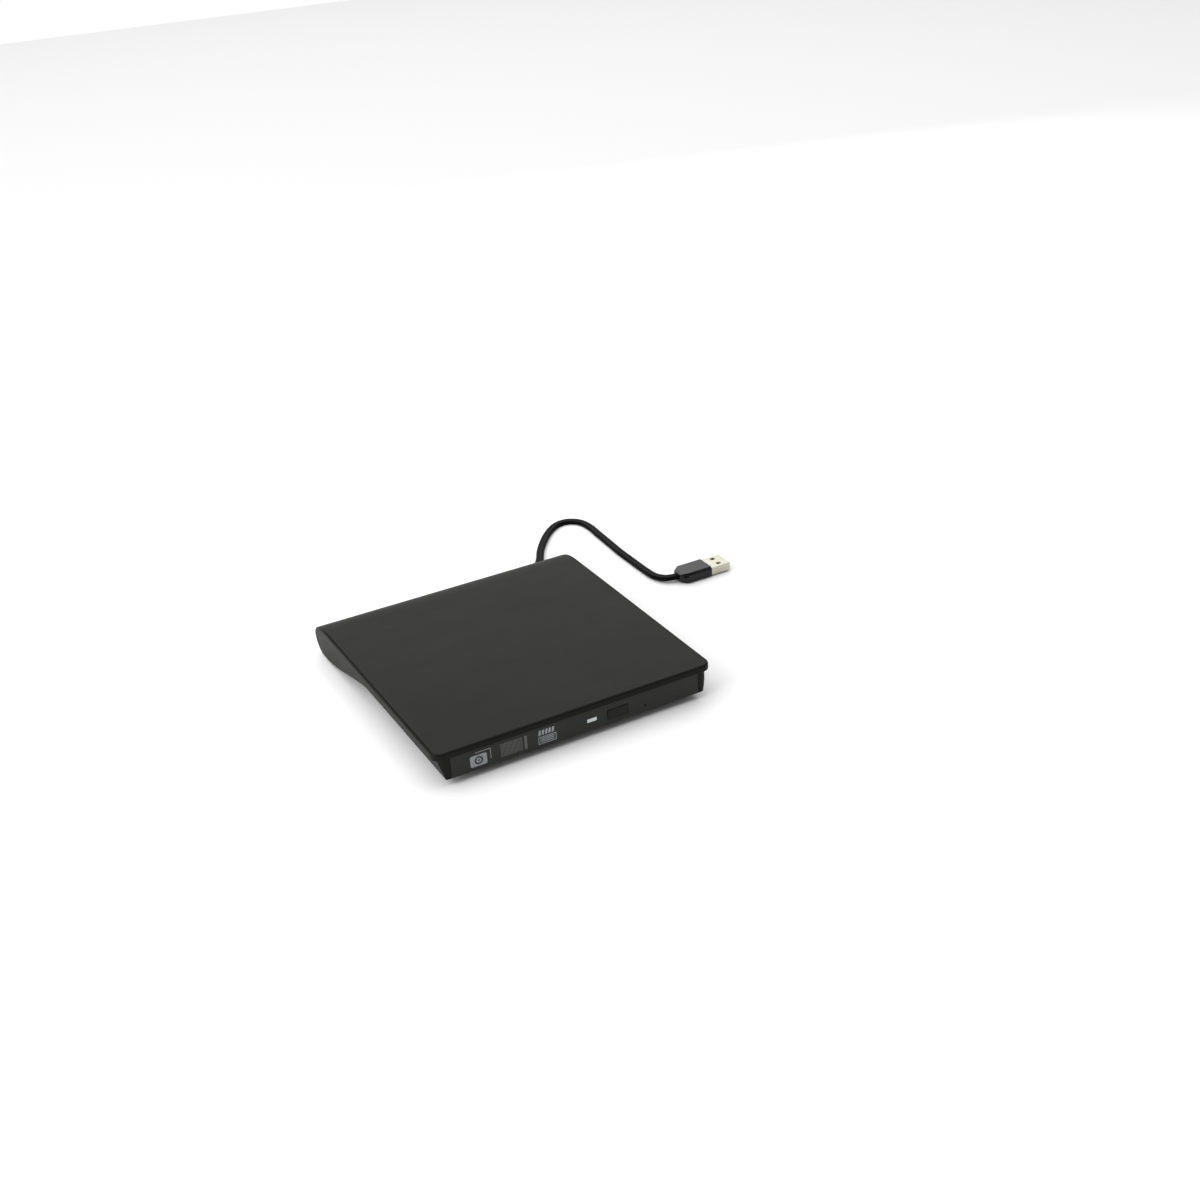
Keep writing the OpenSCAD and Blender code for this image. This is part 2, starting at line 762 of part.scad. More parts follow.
module tray() {
  inner = tray_half - tray_wall;
  color([0.13, 0.13, 0.13])
    difference() {
      union() {
        block([-tray_half, bezel_back, tray_z0], [tray_half, tray_y1, tray_z1]);
        block([-tongue_out, rail_y0, rail_z0 + rail_web + gap],
            [tongue_out, rail_y1, rail_z1 - rail_web - gap]);
      }
      difference() {
        block([-inner, bezel_back + 1.4, tray_z0 - 1], [inner, tray_y1 - tray_wall, web_z]);
        // the rib that the ejector pushes, and the bosses and pin below the web
        block([eject_x - 5, eject_y - 1.3, tray_z0], [eject_x + 5, eject_y - 0.1, web_z + 1]);
        mechanism()
          for (p = damper_uv)
            post(p.x, p.y, deck_top + 0.3, web_z + 1, 2);
        post(latch_x, latch_y, tray_z0 + 0.3, web_z + 1, 0.8);
      }
      post(0, hub_y, disc_z, deep, disc_r + 0.6);
      post(0, hub_y, disc_z - 0.2, deep, 22);
      mechanism() {
        translate([0, 0, -1])
          linear_extrude(deep)
            deck_plan(0.5);
        for (p = damper_uv)
          post(p.x, p.y, deck_top, web_z - 0.2, 0.75);
      }
      // ways through the rear wall for the latch post and the ejector
      block([lane_x - 2, tray_y1 - 3, -1], [lane_x + 2, tray_y1 + 1, web_z]);
      block([eject_x - 4, tray_y1 - 3, -1], [eject_x + 7, tray_y1 + 1, web_z]);
      // ways through the front wall for the button's stem, the light and the bezel's hooks
      block([button_x - 2, bezel_back - 1, button_z - 1.5], [button_x + 2, bezel_back + 2, button_z + 1.5]);
      block([led_x - 3, bezel_back - 1, led_z - 1.2], [led_x + 3, bezel_back + 2, led_z + 1.2]);
      for (x = [-45, 48])
        block([x - 3.1, bezel_back - 1, web_z - 2.2], [x + 3.1, bezel_back + 2, web_z - 0.9]);
    }
}

module front_bezel() {
  color([0.12, 0.12, 0.12]) {
    difference() {
      block([-bezel_w / 2, bezel_y, low_z], [bezel_w / 2, bezel_back, drive_z1]);
      block([button_x - button_w / 2 - 0.2, bezel_y - 1, button_z - button_h / 2 - 0.2],
            [button_x + button_w / 2 + 0.2, bezel_back + 1, button_z + button_h / 2 + 0.2]);
      block([button_x - button_w / 2 - 0.9, bezel_back - 1.2, button_z - button_h / 2 - 0.7],
            [button_x + button_w / 2 + 0.9, bezel_back + 1, button_z + button_h / 2 + 0.7]);
      block([led_x - led_w / 2, bezel_y - 1, led_z - 1], [led_x + led_w / 2, bezel_back + 1, led_z + 1]);
      translate([pin_hole_x, bezel_back + 1, pin_hole_z])
        rotate([90, 0, 0])
          cylinder(h = bezel_t + 2, d = pin_hole_d);
    }
    for (x = [-45, 48])
      block([x - 3, bezel_back, web_z - 2.1], [x + 3, bezel_back + 3.4, web_z - 1]);
  }
}

module led_lens() {
  color([0.85, 0.88, 0.9])
    block([led_x - led_w / 2, bezel_y + 0.1, led_z - 1], [led_x + led_w / 2, bezel_back + 1.3, led_z + 1]);
}

module eject_button() {
  back = bezel_back - 1.2;
  color([0.15, 0.15, 0.15]) {
    block([button_x - button_w / 2, bezel_y - 0.3, button_z - button_h / 2],
          [button_x + button_w / 2, back, button_z + button_h / 2]);
    block([button_x - button_w / 2 - 0.6, back, button_z - button_h / 2 - 0.5],
          [button_x + button_w / 2 + 0.6, back + flange_t, button_z + button_h / 2 + 0.5]);
    block([button_x - 1.5, back, button_z - 1], [button_x + 1.5, bezel_back + 1.5, button_z + 0.7]);
  }
}

module tray_board() {
  color([0.05, 0.28, 0.15])
    block([0, bezel_back + 1.6, web_z - 1], [27, bezel_back + 7.8, web_z - 0.4]);
}

module eject_switch() {
  color([0.75, 0.75, 0.77]) {
    block([button_x - 2, bezel_back + 2.5, web_z - 2.8], [button_x + 2, bezel_back + 5.5, web_z - 1]);
    block([led_x - 1, bezel_back + 1.6, web_z - 2.4], [led_x + 1, bezel_back + 2.6, web_z - 1]);
  }
}

module tray_shield() {
  color([0.7, 0.71, 0.72])
    difference() {
      block([latch_x + 4.5, bezel_back + 0.4, tray_z0 - 0.3], [tray_half - 0.2, eject_y - 4, tray_z0]);
      mechanism()
        for (p = damper_uv)
          post(p.x, p.y, 0, tray_z0 + 1, 2.8);
    }
}

module tray_flex() {
  color([0.75, 0.55, 0.25])
    block([-30, tray_y1 - 95, tray_z0 - 0.5], [-12, tray_y1 - 26, tray_z0 - 0.3]);
}

module latch_lever() {
  z0 = tray_z0 + 0.65;
  tip_y = latch_post_y + 1.2;
  color([0.86, 0.86, 0.83])
    translate([latch_x, latch_y, z0])
      rotate([0, 0, latch_open])
        difference() {
          union() {
            cylinder(h = 1.4, r = 2);
            block([-0.8, tip_y - latch_y, 0], [0.8, 0, 1.4]);
            block([-5, tip_y - latch_y, 0], [0, tip_y - latch_y + 1.3, 1.4]);
            block([0, -1, 0], [5, 1, 1.4]);
          }
          translate([0, 0, -1])
            cylinder(h = 5, r = 0.85);
        }
}

module latch_solenoid() {
  color([0.3, 0.3, 0.32])
    block([latch_x + 5.5, bezel_back + 4, tray_z0 + 0.2], [latch_x + 17, bezel_back + 10.5, web_z]);
}

// ---------- disc mechanism ----------

module traverse_plate() {
  color([0.68, 0.69, 0.7])
    mechanism()
      translate([0, 0, deck_z])
        linear_extrude(deck_t)
          difference() {
            union() {
              deck_plan(0);
              for (p = damper_uv)
                translate(p)
                  circle(r = 3.4);
              bar([0, 0], damper_uv[0], 5);
              bar([0, 0], damper_uv[1], 5);
              bar([damper_uv[2].x, 0], damper_uv[2], 5);
            }
            translate([window_u0, -sled_half - 0.4])
              square([window_u1 - window_u0, 2 * sled_half + 2]);
            for (p = damper_uv)
              translate(p)
                circle(r = 1.7);
          }
}

module traverse_cover() {
  legs = [[deck_end - 6, -deck_half + 1.1], [10.4, 16.4], [10, -deck_half + 1.1]];
  color([0.14, 0.14, 0.15])
    mechanism() {
      translate([0, 0, cover_z])
        linear_extrude(cover_t)
          difference() {
            deck_plan(0.1);
            circle(r = turntable_r + 0.7);
            translate([0, -6.5])
              square([deck_end - 6, 13]);
          }
      for (p = legs)
        post(p.x, p.y, deck_top, cover_z, 0.8);
    }
}

module dampers() {
  color([0.1, 0.1, 0.1])
    mechanism()
      for (p = damper_uv)
        translate([p.x, p.y, deck_z - 0.3])
          difference() {
            union() {
              cylinder(h = 0.3, r = 2.5);
              cylinder(h = deck_t + 0.6, r = 1.7);
              translate([0, 0, deck_t + 0.3])
                cylinder(h = 0.3, r = 2.5);
            }
            translate([0, 0, -1])
              cylinder(h = 5, r = 0.75);
          }
}

module damper_screws() {
  color([0.7, 0.7, 0.72])
    mechanism()
      for (p = damper_uv) {
        post(p.x, p.y, deck_z - 0.6, deck_z - 0.3, 1.9);
        post(p.x, p.y, deck_z - 0.3, web_z - 0.3, 0.75);
      }
}

module guide_rods() {
  color([0.82, 0.83, 0.85])
    mechanism()
      for (v = [-rod_off, rod_off])
        rod(window_u0 - clamp_l, window_u1 + clamp_l, v, rod_z, rod_r);
}

module rod_clamps() {
  h = 2.4;
  color([0.2, 0.2, 0.21])
    mechanism() {
      for (u = [window_u0 - clamp_l, window_u1 + 0.2], v = [-rod_off, rod_off])
        difference() {
          block([u, v - 1.8, deck_top], [u + clamp_l - 0.2, v + 1.8, deck_top + h]);
          rod(u - 1, u + clamp_l + 1, v, rod_z, rod_r);
        }
      difference() {
        block([deck_end - 6.4, screw_v - 1.4, deck_top], [deck_end - 4.9, screw_v + 1.4, deck_top + h]);
        rod(deck_end - 9, deck_end, screw_v, rod_z, screw_r + run_gap);
      }
    }
}

module spindle_motor() {
  color([0.5, 0.5, 0.52])
    mechanism()
      difference() {
        union() {
          post(0, 0, deck_top, deck_top + 0.6, 11);
          post(0, 0, deck_top, deck_top + 2.1, 3);
        }
        post(0, 0, deck_top - 1, deep, shaft_r + run_gap);
      }
}

module stator_coils() {
  teeth = 9;
  z0 = deck_top + 0.8;
  color([0.72, 0.42, 0.2])
    mechanism()
      for (i = [0:teeth - 1])
        rotate([0, 0, i * 360 / teeth])
          block([3, -1, z0], [11.6, 1, z0 + 1.1]);
}

module turntable() {
  skirt_z = deck_top + 0.8;
  top_z = cover_z - 0.6;
  hub_top = rest_z + 1.5;
  color([0.55, 0.56, 0.58])
    mechanism()
      difference() {
        union() {
          difference() {
            post(0, 0, skirt_z, cover_z, rotor_r);
            post(0, 0, skirt_z - 1, top_z, rotor_r - 0.8);
          }
          post(0, 0, cover_z, cover_z + 0.5, turntable_r);
          post(0, 0, deck_top + 0.2, top_z, shaft_r);
          post(0, 0, cover_z, hub_top - 0.6, hub_r);
          translate([0, 0, hub_top - 0.6])
            cylinder(h = 0.6, r1 = hub_r, r2 = hub_r - 0.6);
        }
        for (i = [0:2])
          rotate([0, 0, i * 120])
            block([3.6, -1.4, rest_z + 0.3], [hub_r + 1, 1.4, rest_z + 1.2]);
      }
}

module disc_pad() {
  color([0.08, 0.08, 0.08])
    mechanism()
      difference() {
        post(0, 0, cover_z + 0.5, rest_z, turntable_r);
        post(0, 0, 0, deep, 11.5);
      }
}

// a spring-loaded nose that grips the disc's bore
module claw(i) {
  color([0.8, 0.8, 0.78])
    mechanism()
      rotate([0, 0, i * 120])
        intersection() {
          block([4.4, -1.2, rest_z + 0.4], [hub_r + 0.4, 1.2, rest_z + 1.1]);
          post(0, 0, 0, deep, hub_r + 0.35);
        }
}

module sled_motor() {
  color([0.62, 0.63, 0.65])
    mechanism()
      difference() {
        block([12, screw_v - 2, deck_top], [21.6, screw_v + 2, deck_top + 2.5]);
        rod(18, 25, screw_v, rod_z, screw_r + run_gap);
      }
}

module lead_screw() {
  color([0.8, 0.8, 0.82])
    mechanism()
      rod(18.5, deck_end - 5, screw_v, rod_z, screw_r);
}

module pickup_sled() {
  color([0.6, 0.61, 0.62])
    mechanism()
      difference() {
        union() {
          block([sled_in, -sled_half, sled_z0], [sled_out, sled_half, sled_z1]);
          block([sled_in + 9, sled_half - 1, deck_top + 0.2],
              [sled_in + 12, screw_v - screw_r - gap, deck_top + 2]);
        }
        for (v = [-rod_off, rod_off])
          rod(sled_in - 1, sled_out + 1, v, rod_z, rod_r + run_gap);
        block([lens_home - 4.6, -6, rod_z - 0.5], [lens_home + 4.6, 6, deep]);
      }
}

module pickup_cover() {
  color([0.72, 0.6, 0.35])
    mechanism()
      difference() {
        block([sled_in + 0.4, -sled_half + 1, sled_z1], [sled_out - 0.4, sled_half - 1, sled_z1 + 0.15]);
        block([lens_home - 4.6, -6, 0], [lens_home + 4.6, 6, deep]);
      }
}

module lens_magnets() {
  color([0.45, 0.45, 0.46])
    mechanism()
      for (u = [lens_home - 4.4, lens_home + 2.8])
        block([u, -4, rod_z - 0.5], [u + 1.6, 4, sled_z1]);
}

module lens_holder() {
  color([0.09, 0.09, 0.09])
    mechanism()
      block([lens_home - 2.4, -5, rod_z], [lens_home + 2.4, 5, sled_z1 - 0.2]);
}

module objective_lens() {
  color([0.6, 0.75, 0.85])
    mechanism()
      translate([lens_home, 0, sled_z1 - 0.2]) {
        cylinder(h = 0.2, r = 2);
        translate([0, 0, 0.2])
          cylinder(h = 0.2, r1 = 2, r2 = 1.4);
      }
}

top_cover();
bottom_case();
rubber_feet();
case_screws();
drive_screws();
foam_pads();
bridge_board();
bridge_chips();
sata_socket();
board_screws();
lead_wires();
strain_relief();
usb_lead();
plug_body();
plug_shell();
plug_tongue();
plug_contacts();
drive_base();
drive_lid();
guide(-1);  // guide_left
guide(1);  // guide_right
drive_board();
drive_chips();
drive_connector();
base_flex();
ejector();
ejector_spring();
rail(-1);  // rail_left
rail(1);  // rail_right
tray();
front_bezel();
led_lens();
eject_button();
tray_board();
eject_switch();
tray_shield();
tray_flex();
traverse_plate();
traverse_cover();
dampers();
damper_screws();
guide_rods();
rod_clamps();
spindle_motor();
stator_coils();
turntable();
disc_pad();
claw(0);  // claw_1
claw(1);  // claw_2
claw(2);  // claw_3
sled_motor();
lead_screw();
pickup_sled();
pickup_cover();
lens_magnets();
lens_holder();
objective_lens();
latch_lever();
latch_solenoid();
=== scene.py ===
"""Looks for a slim external disc drive with a captive flat USB lead.

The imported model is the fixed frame. Every piece here stands on a node of it
and rides on its body. Lengths are written in millimetres and turned into
metres by mm().
"""

import json
import math

import bmesh
import bpy
from mathutils import Matrix, Vector


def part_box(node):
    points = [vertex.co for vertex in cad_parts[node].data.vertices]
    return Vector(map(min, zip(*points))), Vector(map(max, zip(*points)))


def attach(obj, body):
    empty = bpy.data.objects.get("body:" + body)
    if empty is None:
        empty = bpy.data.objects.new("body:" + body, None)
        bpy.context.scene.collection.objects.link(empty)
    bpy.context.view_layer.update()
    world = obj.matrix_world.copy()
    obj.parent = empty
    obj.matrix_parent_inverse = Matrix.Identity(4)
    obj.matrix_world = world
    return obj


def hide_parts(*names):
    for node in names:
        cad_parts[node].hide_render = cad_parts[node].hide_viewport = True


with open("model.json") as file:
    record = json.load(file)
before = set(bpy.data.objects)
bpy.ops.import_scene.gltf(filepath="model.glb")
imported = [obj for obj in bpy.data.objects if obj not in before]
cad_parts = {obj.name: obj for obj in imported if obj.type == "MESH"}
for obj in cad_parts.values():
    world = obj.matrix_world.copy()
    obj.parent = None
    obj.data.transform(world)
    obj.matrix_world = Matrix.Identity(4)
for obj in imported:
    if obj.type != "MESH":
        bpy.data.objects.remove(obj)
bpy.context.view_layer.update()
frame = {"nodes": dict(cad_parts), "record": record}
BODY_OF = {node: body for body, nodes in frame["record"]["behaviour"]["bodies"].items() for node in nodes}


def mm(*values):
    """Millimetres to metres: one number, or a vector from three."""
    scaled = [v * 0.001 for v in values]
    return scaled[0] if len(scaled) == 1 else Vector(scaled)


def box_mm(node):
    """A node's lowest and highest corners in millimetres."""
    low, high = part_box(node)
    return low * 1000, high * 1000


# ---------- camera ----------


def place_camera():
    azimuth, elevation, roll = (math.radians(a) for a in (-27.5, 27.93, -3.57))
    back = Vector((math.sin(azimuth) * math.cos(elevation),
                   -math.cos(azimuth) * math.cos(elevation),
                   math.sin(elevation)))
    level = (-back).cross(Vector((0, 0, 1))).normalized()
    upright = level.cross(-back)
    right = level * math.cos(roll) + upright * math.sin(roll)
    up = upright * math.cos(roll) - level * math.sin(roll)
    camera = bpy.data.objects.new("camera", bpy.data.cameras.new("camera"))
    bpy.context.scene.collection.objects.link(camera)
    turn = Matrix((right, up, back)).transposed().to_4x4()
    camera.matrix_world = Matrix.Translation(mm(-276.64, -636.37, 404.35)) @ turn
    camera.data.lens = 48.04
    camera.data.sensor_width = 36
    camera.data.clip_start, camera.data.clip_end = 0.01, 50
    bpy.context.scene.camera = camera


place_camera()


# ---------- mesh helpers ----------


def new_object(name, verts, faces):
    """A mesh object from points in millimetres."""
    mesh = bpy.data.meshes.new(name)
    mesh.from_pydata([mm(*v) for v in verts], [], faces)
    mesh.update()
    obj = bpy.data.objects.new(name, mesh)
    bpy.context.scene.collection.objects.link(obj)
    return obj


def edit(obj, work):
    """Runs work(bm) on the object's mesh."""
    bm = bmesh.new()
    bm.from_mesh(obj.data)
    work(bm)
    bm.to_mesh(obj.data)
    bm.free()
    obj.data.update()
    return obj


def settle(obj):
    """Makes the evaluated object a plain mesh with no modifiers."""
    graph = bpy.context.evaluated_depsgraph_get()
    mesh = bpy.data.meshes.new_from_object(obj.evaluated_get(graph), preserve_all_data_layers=True,
                                           depsgraph=graph)
    old = obj.data
    obj.modifiers.clear()
    obj.data = mesh
    bpy.data.meshes.remove(old)
    mesh.name = obj.name
    return obj


def combine(obj, tool, operation):
    """Cuts or joins a tool into the object, and removes the tool."""
    step = obj.modifiers.new(operation, "BOOLEAN")
    step.operation, step.solver, step.object = operation, "EXACT", tool
    settle(obj)
    bpy.data.objects.remove(tool)
    return obj


def tidy_mesh(obj, merge=0.0005, flat=0.6):
    """Merges doubles, melts flat neighbours into one face and turns every face outwards."""
    def work(bm):
        bmesh.ops.remove_doubles(bm, verts=bm.verts, dist=mm(merge))
        bmesh.ops.dissolve_limit(bm, angle_limit=math.radians(flat), verts=bm.verts, edges=bm.edges)
        bmesh.ops.recalc_face_normals(bm, faces=bm.faces)
    return edit(obj, work)


def soften(obj, width, segments=2, angle=38, crease=46):
    """Rounds the hard edges by width and shades the rest smoothly."""
    bevel = obj.modifiers.new("round", "BEVEL")
    bevel.width, bevel.segments = mm(width), segments
    bevel.limit_method, bevel.angle_limit = "ANGLE", math.radians(angle)
    bevel.miter_outer = "MITER_ARC"
    bevel.use_clamp_overlap = True
    settle(obj)
    shade(obj, crease)
    even = obj.modifiers.new("even", "WEIGHTED_NORMAL")
    even.keep_sharp = True
    return settle(obj)


def shade(obj, crease=46):
    """Smooth shading, with edges sharper than crease kept hard."""
    def work(bm):
        for face in bm.faces:
            face.smooth = True
        for edge in bm.edges:
            edge.smooth = len(edge.link_faces) == 2 and edge.calc_face_angle(0) < math.radians(crease)
    return edit(obj, work)


def copy_of(node, name):
    """A merged copy of a node's mesh, as a new piece."""
    mesh = frame["nodes"][node].data.copy()
    mesh.materials.clear()
    for layer in list(mesh.uv_layers):
        mesh.uv_layers.remove(layer)
    if mesh.has_custom_normals:
        mesh.attributes.remove(mesh.attributes["custom_normal"])
    obj = bpy.data.objects.new(name, mesh)
    bpy.context.scene.collection.objects.link(obj)
    return tidy_mesh(obj)


def prism(name, outline, axis, low, high):
    """A straight prism from an outline in the two other axes, between low and high along axis."""
    n = len(outline)
    place = {"x": lambda p, t: (t, p[0], p[1]), "y": lambda p, t: (p[0], t, p[1]), "z": lambda p,
             t: (p[0], p[1], t)}[axis]
    verts = [place(p, t) for t in (low, high) for p in outline]
    sides = [(i, (i + 1) % n, (i + 1) % n + n, i + n) for i in range(n)]
    obj = new_object(name, verts, [tuple(reversed(range(n))), tuple(range(n, 2 * n))] + sides)
    return edit(obj, lambda bm: bmesh.ops.recalc_face_normals(bm, faces=bm.faces))


def join(name, objs):
    """Several objects' meshes in one."""
    bm = bmesh.new()
    for obj in objs:
        bm.from_mesh(obj.data)
    mesh = bpy.data.meshes.new(name)
    bm.to_mesh(mesh)
    bm.free()
    for obj in objs:
        bpy.data.objects.remove(obj)
    joined = bpy.data.objects.new(name, mesh)
    bpy.context.scene.collection.objects.link(joined)
    return joined


def arc(cx, cy, rx, ry, start, end, steps):
    """Points on an ellipse's arc, angles in degrees."""
    angles = [math.radians(start + (end - start) * i / steps) for i in range(steps + 1)]
    return [(cx + rx * math.cos(a), cy + ry * math.sin(a)) for a in angles]


def rounded_box(x0, x1, z0, z1, radius, steps=4):
    """A rounded rectangle's outline."""
    corners = [(x1 - radius, z0 + radius, -90), (x1 - radius, z1 - radius, 0),
               (x0 + radius, z1 - radius, 90), (x0 + radius, z0 + radius, 180)]
    return [p for cx, cz, a in corners for p in arc(cx, cz, radius, radius, a, a + 90, steps)]


def miter_at(points, i):
    """The outward unit normal at point i of a closed outline that runs anticlockwise, with its miter's length."""
    ax, ay = points[i - 1]
    bx, by = points[i]
    cx, cy = points[(i + 1) % len(points)]
    first = Vector((by - ay, ax - bx)).normalized()
    second = Vector((cy - by, bx - cx)).normalized()
    middle = (first + second).normalized()
    return middle / max(middle.dot(first), 0.5)


def inset(points, distance):
    """A closed anticlockwise outline moved inwards."""
    if distance == 0:
        return list(points)
    normals = [miter_at(points, i) for i in range(len(points))]
    return [(p[0] - n.x * distance, p[1] - n.y * distance) for p, n in zip(points, normals)]


# ---------- the lead ----------

LEAD_WIDTH, LEAD_THICKNESS = 4.4, 2.5
ROUTE = [
    (55, 64.1, 4.2), (55, 69.1, 4.2), (55.2, 74.3, 3.5), (56.8, 79.8, 2),
    (60.3, 85.4, 1.3), (65.1, 93.1, 1.3), (70.5, 101.1, 1.3), (75, 109.1, 1.3),
    (80.5, 117.1, 1.3), (86.5, 124.6, 1.3), (93, 131.1, 1.3), (100, 135.6, 1.3),
    (107, 135.6, 1.3), (112.5, 130.1, 1.3), (114, 121.1, 1.3), (113.5, 111.1, 1.3),
    (113, 101.1, 1.3), (112.5, 91.1, 1.3), (112, 81.1, 1.3), (112, 71.1, 1.3),
    (112, 61.1, 1.3), (112, 52.1, 1.4), (112.5, 44.1, 1.8), (115.5, 37.6, 2.5),
    (121, 34.6, 3.1),
]
ROUTE_STEPS = 9


def along(route, steps):
    """Points and directions on the smooth curve through a route."""
    points = [Vector(p) for p in route]
    padded = [2 * points[0] - points[1], *points, 2 * points[-1] - points[-2]]
    made = []
    for i in range(1, len(padded) - 2):
        a, b, c, d = padded[i - 1:i + 3]
        for k in range(steps):
            t = k / steps
            place = 0.5 * (2 * b + (c - a) * t + (2 * a - 5 * b + 4 * c - d) * t * t + (3 * b - a - 3 * c + d) * t ** 3)
            slope = 0.5 * ((c - a) + 2 * (2 * a - 5 * b + 4 * c - d) * t + 3 * (3 * b - a - 3 * c + d) * t * t)
            made.append((place, slope.normalized()))
    made.append((points[-1], Vector((1, 0, 0))))
    return made


def sweep(name, rings):
    """A closed tube through rings of the same number of points."""
    n = len(rings[0])
    verts = [p for ring in rings for p in ring]
    faces = [(r * n + k, (r + 1) * n + k, (r + 1) * n + (k + 1) % n, r * n + (k + 1) % n)
             for r in range(len(rings) - 1) for k in range(n)]
    faces += [tuple(range(n)), tuple(reversed(range((len(rings) - 1) * n, len(rings) * n)))]
    obj = new_object(name, verts, faces)
    return edit(obj, lambda bm: bmesh.ops.recalc_face_normals(bm, faces=bm.faces))


def flat_lead():
    """The captive lead: a flat jacket with rounded sides and a shallow groove down its faces."""
    half_w, half_t, groove = LEAD_WIDTH / 2, LEAD_THICKNESS / 2, 0.16
    side = arc(half_w - half_t * 0.72, 0, half_t * 0.72, half_t, -90, 90, 10)
    profile = side + [(0.7, half_t), (0.3, half_t - groove), (-0.3, half_t - groove), (-0.7, half_t)]
    profile += [(-x, -y) for x, y in side]
    profile += [(-0.7, -half_t), (-0.3, groove - half_t), (0.3, groove - half_t), (0.7, -half_t)]
    course = along(ROUTE, ROUTE_STEPS)
    rings = []
    for place, direction in course:
        across = direction.cross(Vector((0, 0, 1))).normalized()
        upward = across.cross(direction).normalized()
        rings.append([tuple(place + across * x + upward * y) for x, y in profile])
    lead = shade(sweep("flat_lead", rings), 60)
    return lead, [list(mm(*place)) for place, _ in course]


LEAD, LEAD_PATH = flat_lead()


# ---------- shader groups ----------


def group(name, inputs, outputs):
    """An empty shader group with named float inputs and typed outputs."""
    tree = bpy.data.node_groups.new(name, "ShaderNodeTree")
    for label, value in inputs:
        socket = tree.interface.new_socket(label, in_out="INPUT", socket_type="NodeSocketFloat")
        socket.default_value = value
    for label, kind in outputs:
        tree.interface.new_socket(label, in_out="OUTPUT", socket_type=kind)
    return tree, tree.nodes.new("NodeGroupInput"), tree.nodes.new("NodeGroupOutput")


def add(tree, kind, **values):
    """A node with its settings and unlinked input values. A tuple of (node, socket) is a link."""
    node = tree.nodes.new(kind)
    for key, value in values.items():
        if hasattr(node, key):
            setattr(node, key, value)
            continue
        label = key.replace("_", " ")
        sockets = [s for s in node.inputs if s.name.lower() == label.lower() and s.enabled]
        for socket, item in zip(sockets, value if isinstance(value, list) else [value]):
            if isinstance(item, bpy.types.NodeSocket):
                tree.links.new(item, socket)
            else:
                socket.default_value = item
    return node


def math_node(tree, operation, *values, clamp=False):
    node = tree.nodes.new("ShaderNodeMath")
    node.operation, node.use_clamp = operation, clamp
    for socket, value in zip(node.inputs, values):
        if isinstance(value, bpy.types.NodeSocket):
            tree.links.new(value, socket)
        else:
            socket.default_value = value
    return node.outputs[0]


def make_grain():
    """Moulded texture: Height is the fine spark-eroded grain, Mottle a slow drift over the part."""
    tree, into, out = group("Moulded Grain", [("Size", 0.0002), ("Drift Size", 0.02)],
                            [("Height", "NodeSocketFloat"), ("Mottle", "NodeSocketFloat")])
    where = tree.nodes.new("ShaderNodeTexCoord").outputs["Object"]
    fine = math_node(tree, "DIVIDE", 1, into.outputs["Size"])
    slow = math_node(tree, "DIVIDE", 1, into.outputs["Drift Size"])
    speck = add(tree, "ShaderNodeTexNoise", Vector=where, Scale=fine, Detail=2.0, Roughness=0.6)
    pits = add(tree, "ShaderNodeTexVoronoi", Vector=where, Scale=math_node(tree, "MULTIPLY", fine, 0.7))
    blend = math_node(tree, "ADD", math_node(tree, "MULTIPLY", speck.outputs["Fac"], 0.7),
                      math_node(tree, "MULTIPLY", pits.outputs["Distance"], 0.45))
    tree.links.new(blend, out.inputs["Height"])
    drift = add(tree, "ShaderNodeTexNoise", Vector=where, Scale=slow, Detail=4.0, Roughness=0.55)
    tree.links.new(drift.outputs["Fac"], out.inputs["Mottle"])
    return tree


def make_wear():
    """Edge Wear: Mask is high where two faces meet within Reach, broken up by noise."""
    tree, into, out = group("Edge Wear", [("Reach", 0.0003), ("Break Up", 0.5)], [("Mask", "NodeSocketFloat")])
    bevel = tree.nodes.new("ShaderNodeBevel")
    bevel.samples = 4
    tree.links.new(into.outputs["Reach"], bevel.inputs["Radius"])
    true_normal = tree.nodes.new("ShaderNodeNewGeometry").outputs["Normal"]
    dot = tree.nodes.new("ShaderNodeVectorMath")
    dot.operation = "DOT_PRODUCT"
    tree.links.new(bevel.outputs["Normal"], dot.inputs[0])
    tree.links.new(true_normal, dot.inputs[1])
    bend = math_node(tree, "SUBTRACT", 1, dot.outputs["Value"], clamp=True)
    edge = math_node(tree, "MULTIPLY", bend, 5, clamp=True)
    where = tree.nodes.new("ShaderNodeTexCoord").outputs["Object"]
    noise = add(tree, "ShaderNodeTexNoise", Vector=where, Scale=700.0, Detail=3.0, Roughness=0.6)
    broken = math_node(tree, "MULTIPLY", noise.outputs["Fac"], into.outputs["Break Up"])
    kept = math_node(tree, "SUBTRACT", 1, broken)
    tree.links.new(math_node(tree, "MULTIPLY", edge, kept, clamp=True), out.inputs["Mask"])
    return tree


